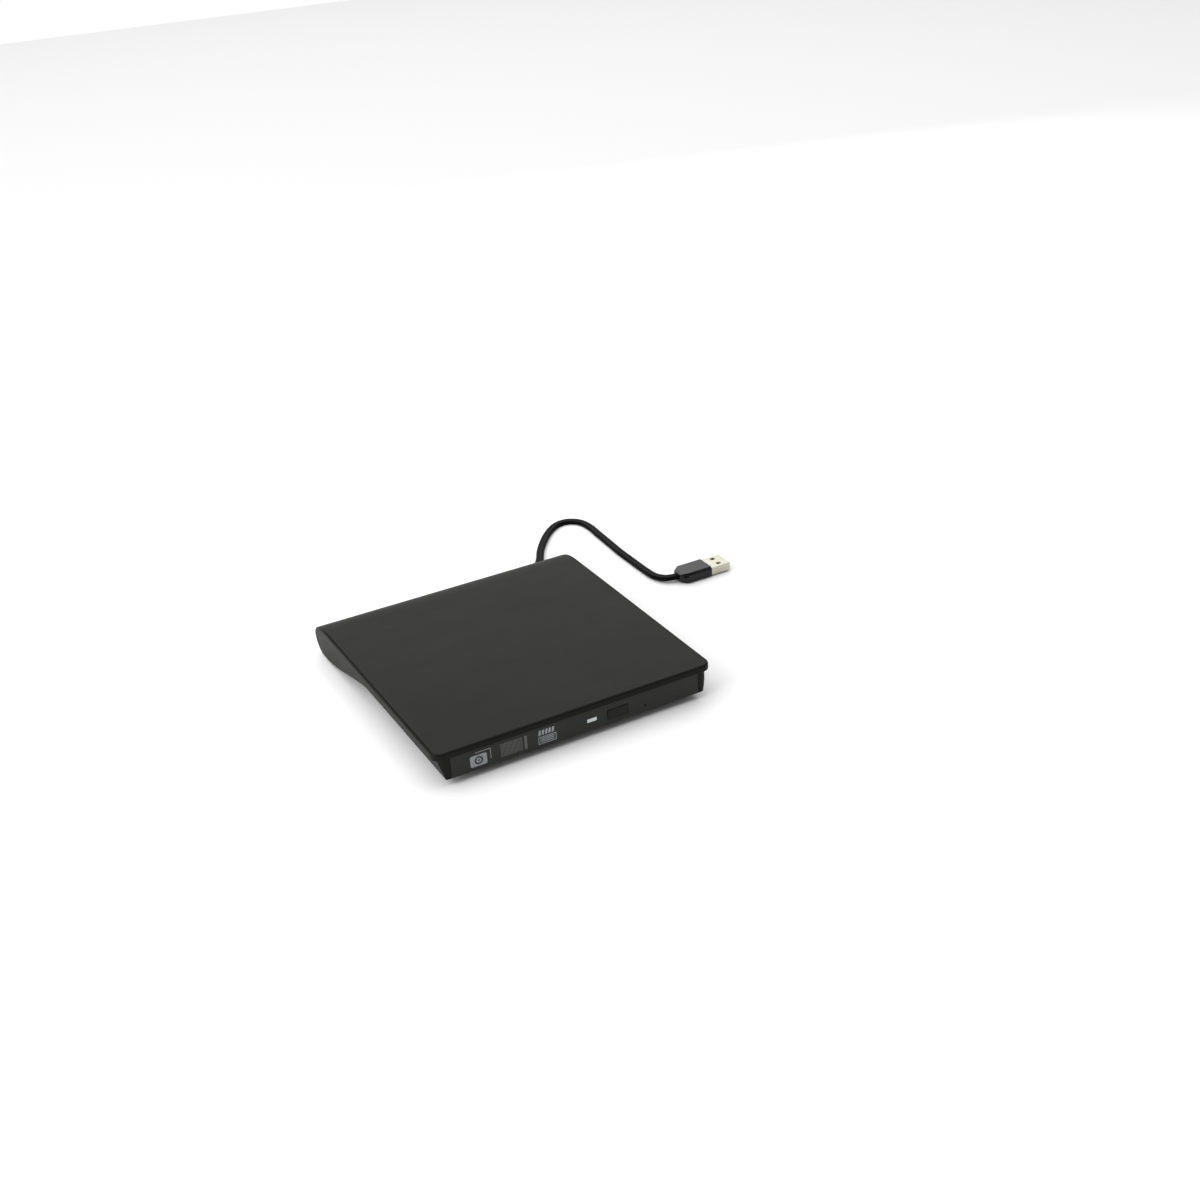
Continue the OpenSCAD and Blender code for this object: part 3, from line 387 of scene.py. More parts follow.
def make_dust():
    """Dust: sparse pale specks and soft smears, for handled surfaces."""
    tree, into, out = group("Handling Marks", [("Speck Size", 0.0006), ("Amount", 0.3)],
                            [("Specks", "NodeSocketFloat"), ("Smears", "NodeSocketFloat")])
    where = tree.nodes.new("ShaderNodeTexCoord").outputs["Object"]
    scale = math_node(tree, "DIVIDE", 1, into.outputs["Speck Size"])
    cells = add(tree, "ShaderNodeTexVoronoi", Vector=where, Scale=scale)
    near = math_node(tree, "LESS_THAN", cells.outputs["Distance"], 0.13)
    few = math_node(tree, "GREATER_THAN",
                    add(tree, "ShaderNodeTexWhiteNoise", Vector=cells.outputs["Position"]).outputs["Value"],
                    0.93)
    tree.links.new(math_node(tree, "MULTIPLY", math_node(tree, "MULTIPLY", near, few),
                             into.outputs["Amount"]), out.inputs["Specks"])
    stretch = add(tree, "ShaderNodeMapping", Vector=where, Rotation=(0, 0, 0.5), Scale=(18.0, 60.0, 60.0))
    smear = add(tree, "ShaderNodeTexNoise", Vector=stretch.outputs["Vector"], Scale=1.0, Detail=5.0,
                Roughness=0.65)
    tree.links.new(smear.outputs["Fac"], out.inputs["Smears"])
    return tree


def make_brushing():
    """Rolled Sheet: Height and Streak run along X, as on rolled or ground steel."""
    tree, into, out = group("Rolled Sheet", [("Line Size", 0.00015), ("Length", 40.0)],
                            [("Height", "NodeSocketFloat"), ("Streak", "NodeSocketFloat")])
    where = tree.nodes.new("ShaderNodeTexCoord").outputs["Object"]
    fine = math_node(tree, "DIVIDE", 1, into.outputs["Line Size"])
    coarse = math_node(tree, "DIVIDE", fine, into.outputs["Length"])
    scales = tree.nodes.new("ShaderNodeCombineXYZ")
    for i, value in enumerate((coarse, fine, fine)):
        tree.links.new(value, scales.inputs[i])
    stretch = tree.nodes.new("ShaderNodeVectorMath")
    stretch.operation = "MULTIPLY"
    tree.links.new(where, stretch.inputs[0])
    tree.links.new(scales.outputs[0], stretch.inputs[1])
    lines = add(tree, "ShaderNodeTexNoise", Vector=stretch.outputs[0], Scale=1.0, Detail=3.0, Roughness=0.5)
    tree.links.new(lines.outputs["Fac"], out.inputs["Height"])
    broad = add(tree, "ShaderNodeTexNoise", Vector=stretch.outputs[0], Scale=0.12, Detail=2.0, Roughness=0.5)
    tree.links.new(broad.outputs["Fac"], out.inputs["Streak"])
    return tree


GRAIN, WEAR, MARKS, BRUSHING = make_grain(), make_wear(), make_dust(), make_brushing()


# ---------- materials ----------


def place_group(tree, source, **values):
    node = tree.nodes.new("ShaderNodeGroup")
    node.node_tree = source
    for label, value in values.items():
        node.inputs[label.replace("_", " ")].default_value = value
    return node


def ranged(tree, value, low, high):
    """A 0 to 1 value spread between low and high."""
    node = add(tree, "ShaderNodeMapRange", clamp=True)
    tree.links.new(value, node.inputs["Value"])
    node.inputs["From Min"].default_value, node.inputs["From Max"].default_value = 0.3, 0.7
    node.inputs["To Min"].default_value, node.inputs["To Max"].default_value = low, high
    return node.outputs["Result"]


def mix_colour(tree, amount, first, second):
    """Mixes two colours, each an RGB tuple or a socket."""
    node = tree.nodes.new("ShaderNodeMix")
    node.data_type = "RGBA"
    for socket, value in ((node.inputs[0], amount), (node.inputs[6], first), (node.inputs[7], second)):
        if isinstance(value, bpy.types.NodeSocket):
            tree.links.new(value, socket)
        else:
            socket.default_value = (*value, 1) if isinstance(value, tuple) else value
    return node.outputs[2]


def new_material(name, **fixed):
    """A material with its shader, and values that are the same all over."""
    material = bpy.data.materials.new(name)
    material.use_nodes = True
    tree = material.node_tree
    shader = tree.nodes["Principled BSDF"]
    for label, value in fixed.items():
        shader.inputs[label.replace("_", " ")].default_value = value
    return material, tree, shader


def bump(tree, shader, height, depth):
    node = tree.nodes.new("ShaderNodeBump")
    node.inputs["Distance"].default_value = mm(depth)
    node.inputs["Strength"].default_value = 1
    tree.links.new(height, node.inputs["Height"])
    tree.links.new(node.outputs["Normal"], shader.inputs["Normal"])


def plastic(name, colour, rough, size=0.2, depth=0.004, worn=None, reach=0.25, specks=0.0, spread=0.12,
            **fixed):
    """Moulded plastic or rubber: grain, slow drift, worn edges and a few specks."""
    material, tree, shader = new_material(name, **fixed)
    grain = place_group(tree, GRAIN, Size=mm(size), Drift_Size=0.018)
    wear = place_group(tree, WEAR, Reach=mm(reach), Break_Up=0.7)
    marks = place_group(tree, MARKS, Speck_Size=0.0011, Amount=specks)
    deep, pale = (tuple(c * f for c in colour) for f in (1 - spread, 1 + spread))
    base = mix_colour(tree, ranged(tree, grain.outputs["Mottle"], 0, 1), deep, pale)
    base = mix_colour(tree, wear.outputs["Mask"], base,
                      worn or tuple(min(1, c * 1.9 + 0.004) for c in colour))
    base = mix_colour(tree, marks.outputs["Specks"], base, (0.3, 0.29, 0.27))
    tree.links.new(base, shader.inputs["Base Color"])
    smooth = ranged(tree, marks.outputs["Smears"], rough - 0.02, rough + 0.02)
    polished = math_node(tree, "MULTIPLY", wear.outputs["Mask"], 0.12)
    tree.links.new(math_node(tree, "SUBTRACT", smooth, polished, clamp=True), shader.inputs["Roughness"])
    bump(tree, shader, grain.outputs["Height"], depth)
    return material


def metal(name, colour, rough, line=0.12, length=30.0, depth=0.0015, spread=0.08, **fixed):
    """Rolled, ground or plated metal with fine lines and paler edges."""
    material, tree, shader = new_material(name, Metallic=1.0, **fixed)
    lines = place_group(tree, BRUSHING, Line_Size=mm(line), Length=length)
    wear = place_group(tree, WEAR, Reach=mm(0.12), Break_Up=0.6)
    deep, pale = (tuple(min(1, c * f) for c in colour) for f in (1 - spread, 1 + spread))
    base = mix_colour(tree, ranged(tree, lines.outputs["Streak"], 0, 1), deep, pale)
    base = mix_colour(tree, wear.outputs["Mask"], base, tuple(min(1, c * 1.25) for c in colour))
    tree.links.new(base, shader.inputs["Base Color"])
    tree.links.new(ranged(tree, lines.outputs["Height"], rough - 0.07, rough + 0.07),
                   shader.inputs["Roughness"])
    bump(tree, shader, lines.outputs["Height"], depth)
    return material


def circuit_board(name):
    """Solder mask over copper: the tracks show as paler, raised runs."""
    material, tree, shader = new_material(name, Coat_Roughness=0.15)
    where = tree.nodes.new("ShaderNodeTexCoord").outputs["Object"]
    bricks = tree.nodes.new("ShaderNodeTexBrick")
    bricks.offset, bricks.squash = 0.37, 1.0
    for label, value in (("Scale", 420.0), ("Mortar Size", 0.03), ("Brick Width", 1.7), ("Row Height", 0.22)):
        bricks.inputs[label].default_value = value
    tree.links.new(where, bricks.inputs["Vector"])
    vias = add(tree, "ShaderNodeTexVoronoi", Vector=where, Scale=380.0)
    via = math_node(tree, "LESS_THAN", vias.outputs["Distance"], 0.12)
    mask = mix_colour(tree, bricks.outputs["Fac"], (0.012, 0.09, 0.04), (0.03, 0.2, 0.09))
    tree.links.new(mix_colour(tree, via, mask, (0.55, 0.42, 0.2)), shader.inputs["Base Color"])
    tree.links.new(ranged(tree, bricks.outputs["Fac"], 0.28, 0.4), shader.inputs["Roughness"])
    bump(tree, shader, bricks.outputs["Fac"], 0.02)
    return material


def foam_material(name):
    material, tree, shader = new_material(name)
    where = tree.nodes.new("ShaderNodeTexCoord").outputs["Object"]
    cells = add(tree, "ShaderNodeTexVoronoi", Vector=where, Scale=2600.0)
    base = mix_colour(tree, cells.outputs["Distance"], (0.012, 0.012, 0.012), (0.07, 0.07, 0.068))
    tree.links.new(base, shader.inputs["Base Color"])
    tree.links.new(ranged(tree, cells.outputs["Distance"], 0.85, 0.98), shader.inputs["Roughness"])
    bump(tree, shader, cells.outputs["Distance"], 0.12)
    return material


def wire_material(name):
    """Four insulation colours by the wires' places across the lead."""
    material, tree, shader = new_material(name, Coat_Weight=0.2)
    where = tree.nodes.new("ShaderNodeTexCoord").outputs["Object"]
    split = tree.nodes.new("ShaderNodeSeparateXYZ")
    tree.links.new(where, split.inputs[0])
    low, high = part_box("lead_wires")
    span = tree.nodes.new("ShaderNodeMapRange")
    tree.links.new(split.outputs["X"], span.inputs["Value"])
    span.inputs["From Min"].default_value, span.inputs["From Max"].default_value = low.x, high.x
    ramp = tree.nodes.new("ShaderNodeValToRGB")
    ramp.color_ramp.interpolation = "CONSTANT"
    colours = [(0.5, 0.03, 0.02, 1), (0.75, 0.74, 0.7, 1), (0.03, 0.3, 0.08, 1), (0.015, 0.015, 0.015, 1)]
    ramp.color_ramp.elements[1].position = 0.25
    for spot in (0.5, 0.75):
        ramp.color_ramp.elements.new(spot)
    for element, colour in zip(ramp.color_ramp.elements, colours):
        element.color = colour
    tree.links.new(span.outputs["Result"], ramp.inputs["Fac"])
    tree.links.new(ramp.outputs["Color"], shader.inputs["Base Color"])
    grain = place_group(tree, GRAIN, Size=mm(0.1), Drift_Size=0.004)
    tree.links.new(ranged(tree, grain.outputs["Mottle"], 0.3, 0.45), shader.inputs["Roughness"])
    return material


def glass_material(name):
    """The objective lens: clear, with a faint blue coating."""
    material, tree, shader = new_material(
        name, Transmission_Weight=0.85, IOR=1.5, Coat_Weight=0.6, Coat_Tint=(0.5, 0.65, 1, 1))
    grain = place_group(tree, GRAIN, Size=mm(0.3), Drift_Size=0.002)
    base = mix_colour(tree, ranged(tree, grain.outputs["Mottle"], 0, 1), (0.4, 0.55, 0.8), (0.55, 0.7, 0.95))
    tree.links.new(base, shader.inputs["Base Color"])
    tree.links.new(ranged(tree, grain.outputs["Mottle"], 0.02, 0.06), shader.inputs["Roughness"])
    return material


COVER = plastic("cover_charcoal", (0.0062, 0.0064, 0.0050), 0.47, size=0.16, depth=0.0035, specks=0.12,
                worn=(0.02, 0.02, 0.018), Specular_IOR_Level=0.1)
CASE = plastic("case_black", (0.006, 0.006, 0.0057), 0.5, size=0.2, depth=0.005, Specular_IOR_Level=0.12)
BEZEL = plastic("bezel_satin", (0.018, 0.0182, 0.0158), 0.42, size=0.13, depth=0.002,
                worn=(0.05, 0.05, 0.047), Specular_IOR_Level=0.2)
BUTTON = plastic("button_satin", (0.009, 0.009, 0.0084), 0.36, size=0.12, depth=0.0015,
                 Specular_IOR_Level=0.15)
TRAY = plastic("tray_black", (0.0125, 0.0125, 0.012), 0.5, size=0.3, depth=0.006)
RUBBER = plastic("soft_rubber", (0.012, 0.012, 0.012), 0.78, size=0.25, depth=0.012, worn=(0.03, 0.03, 0.03))
JACKET = plastic("lead_jacket", (0.0015, 0.0015, 0.0015), 0.46, size=0.22, depth=0.003,
                 worn=(0.008, 0.008, 0.008), Specular_IOR_Level=0.05)
PLUG = plastic("plug_moulding", (0.005, 0.005, 0.0048), 0.2, size=0.3, depth=0.001,
               worn=(0.02, 0.02, 0.019), Specular_IOR_Level=0.2, Coat_Weight=0.12, Coat_Roughness=0.12)
TONGUE = plastic("plug_insulator", (0.01, 0.01, 0.011), 0.35, size=0.2, depth=0.001)
CHIP = plastic("chip_epoxy", (0.011, 0.011, 0.012), 0.55, size=0.1, depth=0.003)
ACETAL = plastic("natural_acetal", (0.62, 0.61, 0.55), 0.38, size=0.2, depth=0.002, worn=(0.75, 0.74, 0.68),
                 spread=0.04,
                 Subsurface_Weight=0.15, Subsurface_Scale=0.001)
# Indicator lens: its faint emission is a painted glow that brightens the lens. It is not a lit lamp.
PAINTED_GLOW_GUIDE = plastic("light_guide_painted_glow", (0.55, 0.57, 0.56), 0.3, size=0.2, depth=0.001, worn=(0.9, 0.9, 0.9),
                      spread=0.03,
                      Subsurface_Weight=0.3, Subsurface_Scale=0.001, Emission_Color=(0.9, 0.95, 1, 1),
                      Emission_Strength=0.12)
PRINT = plastic("printed_grey", (0.26, 0.275, 0.285), 0.5, size=0.08, depth=0.002,
                worn=(0.26, 0.275, 0.285), spread=0.14)
PRINT_DIM = plastic("printed_dim", (0.085, 0.084, 0.08), 0.5, size=0.08, depth=0.002,
                    worn=(0.085, 0.084, 0.08), spread=0.2)
FLEX = plastic("polyimide_film", (0.42, 0.19, 0.035), 0.25, size=0.4, depth=0.002, worn=(0.6, 0.35, 0.1),
               Coat_Weight=0.5)
STEEL = metal("zinc_sheet", (0.55, 0.56, 0.58), 0.34, line=0.25, length=12.0)
ROD = metal("ground_rod", (0.72, 0.73, 0.75), 0.14, line=0.06, length=1.0)
SCREW = metal("nickel_screw", (0.5, 0.5, 0.51), 0.28, line=0.08, length=2.0)
MOTOR = metal("turned_motor", (0.5, 0.51, 0.53), 0.24, line=0.07, length=6.0)
SLED = metal("cast_alloy", (0.42, 0.43, 0.44), 0.46, line=0.2, length=1.0, depth=0.006)
MAGNET = metal("plated_magnet", (0.35, 0.35, 0.37), 0.3, line=0.15, length=2.0)
COPPER = metal("enamelled_copper", (0.66, 0.27, 0.1), 0.3, line=0.1, length=3.0, Coat_Weight=0.6)
SHELL = metal("plated_shell", (0.46, 0.45, 0.37), 0.3, line=0.08, length=20.0, depth=0.001)
GOLD = metal("contact_gold", (0.85, 0.6, 0.22), 0.22, line=0.06, length=15.0)
BOARD, FOAM, WIRES, GLASS = (circuit_board("solder_mask"), foam_material("foam_cells"),
                             wire_material("wire_insulation"), glass_material("lens_coated"))

MATERIAL_OF_SLOT = {
    "cover_plastic": COVER, "case_plastic": CASE, "bezel_plastic": BEZEL, "button_plastic": BUTTON,
    "led_plastic": PAINTED_GLOW_GUIDE, "tray_plastic": TRAY, "rubber": RUBBER, "foam": FOAM, "steel": STEEL,
    "rod_steel": ROD, "screw_steel": SCREW, "motor_metal": MOTOR, "sled_metal": SLED, "magnet": MAGNET,
    "acetal": ACETAL, "board": BOARD, "chip": CHIP, "flex": FLEX, "copper": COPPER, "lens_glass": GLASS,
    "wire": WIRES, "lead_rubber": JACKET, "plug_plastic": PLUG, "plug_metal": SHELL,
    "plug_tongue": TONGUE, "contact_gold": GOLD,
}


# ---------- putting pieces on the frame ----------


def paint(obj, slot):
    obj.data.materials.clear()
    obj.data.materials.append(MATERIAL_OF_SLOT[slot])


def stand_for(obj, slot, *nodes):
    """The piece takes the nodes' place, rides on their body and takes a slot's finish."""
    if slot:
        paint(obj, slot)
    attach(obj, BODY_OF[nodes[0]])
    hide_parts(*nodes)
    return obj


# ---------- the cover ----------

COVER_EDGE = 0.9
FRONT_CORNER, REAR_CORNER, LIP_ROLL = 5.0, 1.5, 1.2
NOSE_Z, NOSE_UP, NOSE_LOW = 10.3, 17.7, 10.4
WAVE_REAR, WAVE_FRONT = 60.8, -1.9


def ease(t):
    return 0.7 * t * t * (3 - 2 * t) + 0.3 * t


def cover_outline(low, high):
    """The cover's side outline in Y and Z, anticlockwise seen from the right."""
    lip = high.z - 3.4
    back, front = high.y, low.y
    outline = arc(back - NOSE_LOW, NOSE_Z, NOSE_LOW, NOSE_Z - low.z, -90, -6, 14)
    outline += arc(back - NOSE_UP, NOSE_Z, NOSE_UP, high.z - NOSE_Z, 0, 90, 26)
    outline += [(y, high.z) for y in (back - 24, back - 40, 0, front + 14, front + 7)]
    outline += arc(front + LIP_ROLL, high.z - LIP_ROLL, LIP_ROLL, LIP_ROLL, 90, 180, 7)
    outline += arc(front + 0.35, lip + 0.35, 0.35, 0.35, 180, 270, 3)
    outline += [(front + d, lip - 1.4 * d / 75) for d in (7, 14, 40)]
    steps = 26
    for i in range(steps, 0, -1):
        t = i / steps
        outline.append((WAVE_REAR + (WAVE_FRONT - WAVE_REAR) * t, low.z + (high.z - 4.8 - low.z) * ease(t)))
    outline.append((WAVE_REAR, low.z))
    return outline


def fade(value, start, end):
    t = min(max((value - start) / (end - start), 0), 1)
    return t * t * (3 - 2 * t)


def corner_step(x, half, radius):
    """How far the plan's rounded corner lies behind its straight side at x."""
    over = max(abs(x) - (half - radius), 0)
    return radius - math.sqrt(max(radius * radius - over * over, 0))


def cover_shell():
    """The top cover: one swept skin with rolled edges, hollowed from below."""
    low, high = box_mm("top_cover")
    half = high.x
    outline = cover_outline(low, high)
    stations = [(half - FRONT_CORNER - 0.6, 0)]
    stations += [(half - FRONT_CORNER + FRONT_CORNER * math.sin(math.radians(a)), 0) for a in range(0, 61, 6)]
    stations += [(half - COVER_EDGE - 0.12, 0)]
    stations += [(half - COVER_EDGE + COVER_EDGE * math.sin(math.radians(a)),
                  COVER_EDGE * (1 - math.cos(math.radians(a)))) for a in range(0, 91, 18)]
    rings = []
    for side in (-1, 1):
        ordered = reversed(stations) if side < 0 else stations
        for x, shrink in ordered:
            ring = []
            for y, z in inset(outline, shrink):
                front = corner_step(x, half, FRONT_CORNER) * (1 - fade(y, low.y + 6, low.y + 14))
                rear = corner_step(x, half, REAR_CORNER) * fade(y, high.y - 12, high.y - 6)
                ring.append((side * x, y + front - rear, z))
            rings.append(ring)
    shell = sweep("cover_shell", rings)
    wall, plate = 2.2, high.z - 1.8
    floor_y = high.y - NOSE_LOW - 1
    hollow = [(low.y + wall, -1), (floor_y, -1), (floor_y, low.z)]
    hollow += arc(floor_y, NOSE_Z, NOSE_LOW + 1 - wall, NOSE_Z - low.z, -80, -6, 9)
    hollow += arc(high.y - NOSE_UP, NOSE_Z, NOSE_UP - wall, plate - NOSE_Z, 0, 90, 14)
    hollow.append((low.y + wall, plate))
    combine(shell, prism("hollow", hollow, "x", -half + wall, half - wall), "DIFFERENCE")
    notch = [(51, 63.8), (59, 63.8), (59, 78), (51, 78)]
    combine(shell, prism("notch", notch, "z", -1, 6.2), "DIFFERENCE")
    posts = [prism("post", arc(x, 58.6, 2.8, 2.8, 0, 345, 23), "z", 6, plate + 0.3) for x in (-65.5, 65.5)]
    holes = [prism("hole", arc(x, 58.6, 1.1, 1.1, 0, 345, 23), "z", 5, plate - 3) for x in (-65.5, 65.5)]
    combine(shell, join("posts", posts), "UNION")
    combine(shell, join("holes", holes), "DIFFERENCE")
    tidy_mesh(shell, merge=0.002, flat=0.05)
    shade(shell, 40)
    even = shell.modifiers.new("even", "WEIGHTED_NORMAL")
    even.keep_sharp = True
    return settle(shell)


stand_for(cover_shell(), "cover_plastic", "top_cover")


# ---------- pieces with rounded edges ----------

ROUNDED = {
    "bottom_case": ("lower_case", 0.6, "case_plastic"),
    "front_bezel": ("bezel", 0.28, "bezel_plastic"),
    "eject_button": ("button", 0.22, "button_plastic"),
    "led_lens": ("indicator_lens", 0.3, "led_plastic"),
    "rubber_feet": ("feet", 0.35, "rubber"),
    "case_screws": ("cover_screws", 0.12, "screw_steel"),
    "strain_relief": ("lead_relief", 0.3, "lead_rubber"),
    "plug_body": ("plug_grip", 0.7, "plug_plastic"),
    "plug_shell": ("plug_can", 0.12, "plug_metal"),
    "plug_tongue": ("plug_insert", 0.15, "plug_tongue"),
    "plug_contacts": ("plug_pins", 0.06, "contact_gold"),
    "drive_base": ("housing_base", 0.08, "steel"),
    "drive_lid": ("housing_lid", 0.12, "steel"),
    "guide_left": ("channel_left", 0.12, "acetal"),
    "guide_right": ("channel_right", 0.12, "acetal"),
    "ejector": ("pusher", 0.25, "acetal"),
    "rail_left": ("slide_left", 0.15, "steel"),
    "rail_right": ("slide_right", 0.15, "steel"),
    "tray": ("disc_tray", 0.22, "tray_plastic"),
    "tray_shield": ("tray_underside", 0.06, "steel"),
    "traverse_plate": ("deck", 0.12, "steel"),
    "traverse_cover": ("deck_trim", 0.08, "tray_plastic"),
    "dampers": ("grommets", 0.12, "rubber"),
    "rod_clamps": ("clamps", 0.2, "chip"),
    "spindle_motor": ("motor_base", 0.12, "motor_metal"),
    "turntable": ("spindle_rotor", 0.14, "motor_metal"),
    "disc_pad": ("grip_ring", 0.1, "rubber"),
    "claw_1": ("nose_1", 0.15, "acetal"),
    "claw_2": ("nose_2", 0.15, "acetal"),
    "claw_3": ("nose_3", 0.15, "acetal"),
    "sled_motor": ("feed_motor", 0.35, "motor_metal"),
    "pickup_sled": ("carriage", 0.3, "sled_metal"),
    "pickup_cover": ("carriage_film", 0.04, "flex"),
    "lens_holder": ("actuator", 0.25, "chip"),
    "latch_lever": ("latch_arm", 0.2, "acetal"),
    "latch_solenoid": ("solenoid", 0.3, "motor_metal"),
}
for node, (name, width, slot) in ROUNDED.items():
    stand_for(soften(copy_of(node, name), width), slot, node)

CARRIED = {
    "foam_pads": "foam", "bridge_board": "board", "bridge_chips": "chip",
    "sata_socket": "chip", "lead_wires": "wire", "drive_board": "board",
    "drive_chips": "chip", "drive_connector": "chip", "base_flex": "flex", "ejector_spring": "screw_steel",
    "tray_board": "board", "eject_switch": "screw_steel", "tray_flex": "flex",
    "guide_rods": "rod_steel", "lens_magnets": "magnet",
    "objective_lens": "lens_glass",
}
for node, slot in CARRIED.items():
    obj = frame["nodes"][node]
    for i in range(max(1, len(obj.material_slots))):
        if not obj.material_slots:
            obj.data.materials.append(None)
        obj.material_slots[i].link = "OBJECT"
        obj.material_slots[i].material = MATERIAL_OF_SLOT[slot]


# ---------- pieces that repeat ----------

HUB_Y = -11.9


def node_tree(name, sizes):
    """A geometry tree with a geometry input, named sizes, and its two end nodes."""
    tree = bpy.data.node_groups.new(name, "GeometryNodeTree")
    tree.interface.new_socket("Geometry", in_out="INPUT", socket_type="NodeSocketGeometry")
    for label, kind in sizes:
        tree.interface.new_socket(label, in_out="INPUT", socket_type=kind)
    tree.interface.new_socket("Geometry", in_out="OUTPUT", socket_type="NodeSocketGeometry")
    return tree, tree.nodes.new("NodeGroupInput"), tree.nodes.new("NodeGroupOutput")


def geo(tree, kind, settings=None, **links):
    """A geometry node; each value is a socket to link or a plain number."""
    node = tree.nodes.new(kind)
    for key, value in (settings or {}).items():
        setattr(node, key, value)
    for key, value in links.items():
        socket = next(s for s in node.inputs if s.name == key.replace("_", " ") and s.enabled)
        for item in value if isinstance(value, list) else [value]:
            if isinstance(item, bpy.types.NodeSocket):
                tree.links.new(item, socket)
            else:
                socket.default_value = item
    return node


def geo_math(tree, operation, first, second):
    node = geo(tree, "ShaderNodeMath", {"operation": operation})
    for socket, value in zip(node.inputs, (first, second)):
        if isinstance(value, bpy.types.NodeSocket):
            tree.links.new(value, socket)
        else:
            socket.default_value = value
    return node.outputs[0]


def geo_finish(tree, out, geometry, source):
    """Every tree ends in plain geometry with its material."""
    real = geo(tree, "GeometryNodeRealizeInstances", Geometry=geometry)
    done = geo(tree, "GeometryNodeSetMaterial", Geometry=real.outputs[0], Material=source.outputs["Material"])
    tree.links.new(done.outputs[0], out.inputs[0])


def grown(name, tree, verts, values, slot, node):
    """Runs a tree on points, keeps the result as a mesh and puts it in the node's place."""
    obj = new_object(name, verts, [])
    step = obj.modifiers.new("grow", "NODES")
    step.node_group = tree
    for item in tree.interface.items_tree:
        if item.in_out == "INPUT" and item.name in values:
            step[item.identifier] = values[item.name]
        if item.in_out == "INPUT" and item.name == "Material":
            step[item.identifier] = MATERIAL_OF_SLOT[slot]
    obj.update_tag()
    bpy.context.view_layer.update()
    settle(obj)
    edit(obj, lambda bm: bmesh.ops.recalc_face_normals(bm, faces=bm.faces))
    shade(obj, 40)
    return stand_for(obj, slot, node)


def screw_tree():
    """One screw with a cross recess, on every point; its head's top faces away from the shank."""
    sizes = [(n, "NodeSocketFloat") for n in ("Head Radius", "Head Height", "Shank Radius", "Shank Length",
                                              "Turn")]
    tree, start, out = node_tree("screws", sizes + [("Material", "NodeSocketMaterial")])
    head_r, head_h, shank_r, shank_l = (start.outputs[n] for n in
                                        ("Head Radius", "Head Height", "Shank Radius", "Shank Length"))

    def lifted(geometry, height):
        spot = geo(tree, "ShaderNodeCombineXYZ", Z=height)
        return geo(tree, "GeometryNodeTransform", Geometry=geometry, Translation=spot.outputs[0]).outputs[0]

    head = geo(tree, "GeometryNodeMeshCylinder", Vertices=40, Radius=head_r, Depth=head_h)
    head = lifted(head.outputs[0], geo_math(tree, "MULTIPLY", head_h, 0.5))
    arms = []
    for long_x in (True, False):
        reach = geo_math(tree, "MULTIPLY", head_r, 1.15)
        thin = geo_math(tree, "MULTIPLY", head_r, 0.26)
        deep = geo_math(tree, "MULTIPLY", head_h, 1.1)
        size = geo(tree, "ShaderNodeCombineXYZ", X=reach if long_x else thin, Y=thin if long_x else reach,
                   Z=deep)
        arms.append(lifted(geo(tree, "GeometryNodeMeshCube", Size=size.outputs[0]).outputs[0], head_h))
    cut_head = geo(tree, "GeometryNodeMeshBoolean", {"operation": "DIFFERENCE", "solver": "EXACT"})
    tree.links.new(head, cut_head.inputs[0])
    for arm in arms:
        tree.links.new(arm, cut_head.inputs[1])
    shank = geo(tree, "GeometryNodeMeshCylinder", Vertices=24, Radius=shank_r, Depth=shank_l)
    shank = lifted(shank.outputs[0], geo_math(tree, "MULTIPLY", shank_l, -0.5))
    whole = geo(tree, "GeometryNodeJoinGeometry", Geometry=[cut_head.outputs[0], shank])
    spin = geo(tree, "ShaderNodeCombineXYZ", X=start.outputs["Turn"])
    spread = geo(tree, "GeometryNodeInstanceOnPoints", Points=start.outputs[0], Instance=whole.outputs[0],
                 Rotation=spin.outputs[0])
    geo_finish(tree, out, spread.outputs[0], start)
    return tree


def thread_tree():
    """A shaft with a rolled ridge along it."""
    sizes = [(n, "NodeSocketFloat") for n in ("Radius", "Ridge", "Length", "Pitch", "Height", "Side",
                                              "Start")]
    tree, start, out = node_tree("threaded_shaft", sizes + [("Material", "NodeSocketMaterial")])
    radius, length = start.outputs["Radius"], start.outputs["Length"]
    turns = geo_math(tree, "DIVIDE", length, start.outputs["Pitch"])
    path = geo(tree, "GeometryNodeCurveSpiral", Resolution=20, Rotations=turns, Start_Radius=radius,
               End_Radius=radius, Height=length)
    ring = geo(tree, "GeometryNodeCurvePrimitiveCircle", {"mode": "RADIUS"}, Resolution=8,
               Radius=start.outputs["Ridge"])
    ridge = geo(tree, "GeometryNodeCurveToMesh", Curve=path.outputs[0], Profile_Curve=ring.outputs[0],
                Fill_Caps=True)
    rod = geo(tree, "GeometryNodeMeshCylinder", Vertices=40, Radius=radius, Depth=length)
    middle = geo(tree, "ShaderNodeCombineXYZ", Z=geo_math(tree, "MULTIPLY", length, 0.5))
    rod = geo(tree, "GeometryNodeTransform", Geometry=rod.outputs[0], Translation=middle.outputs[0])
    both = geo(tree, "GeometryNodeJoinGeometry", Geometry=[rod.outputs[0], ridge.outputs[0]])
    lay = geo(tree, "GeometryNodeTransform", Geometry=both.outputs[0], Rotation=(0, math.pi / 2, 0))
    spot = geo(tree, "ShaderNodeCombineXYZ", X=start.outputs["Start"], Y=start.outputs["Side"])
    shift = geo(tree, "GeometryNodeTransform", Geometry=lay.outputs[0], Translation=spot.outputs[0])
    turn = geo(tree, "GeometryNodeTransform", Geometry=shift.outputs[0], Rotation=(0, 0, -math.pi / 4))
    rise = geo(tree, "ShaderNodeCombineXYZ", Y=mm(HUB_Y), Z=start.outputs["Height"])
    put = geo(tree, "GeometryNodeTransform", Geometry=turn.outputs[0], Translation=rise.outputs[0])
    geo_finish(tree, out, put.outputs[0], start)
    return tree


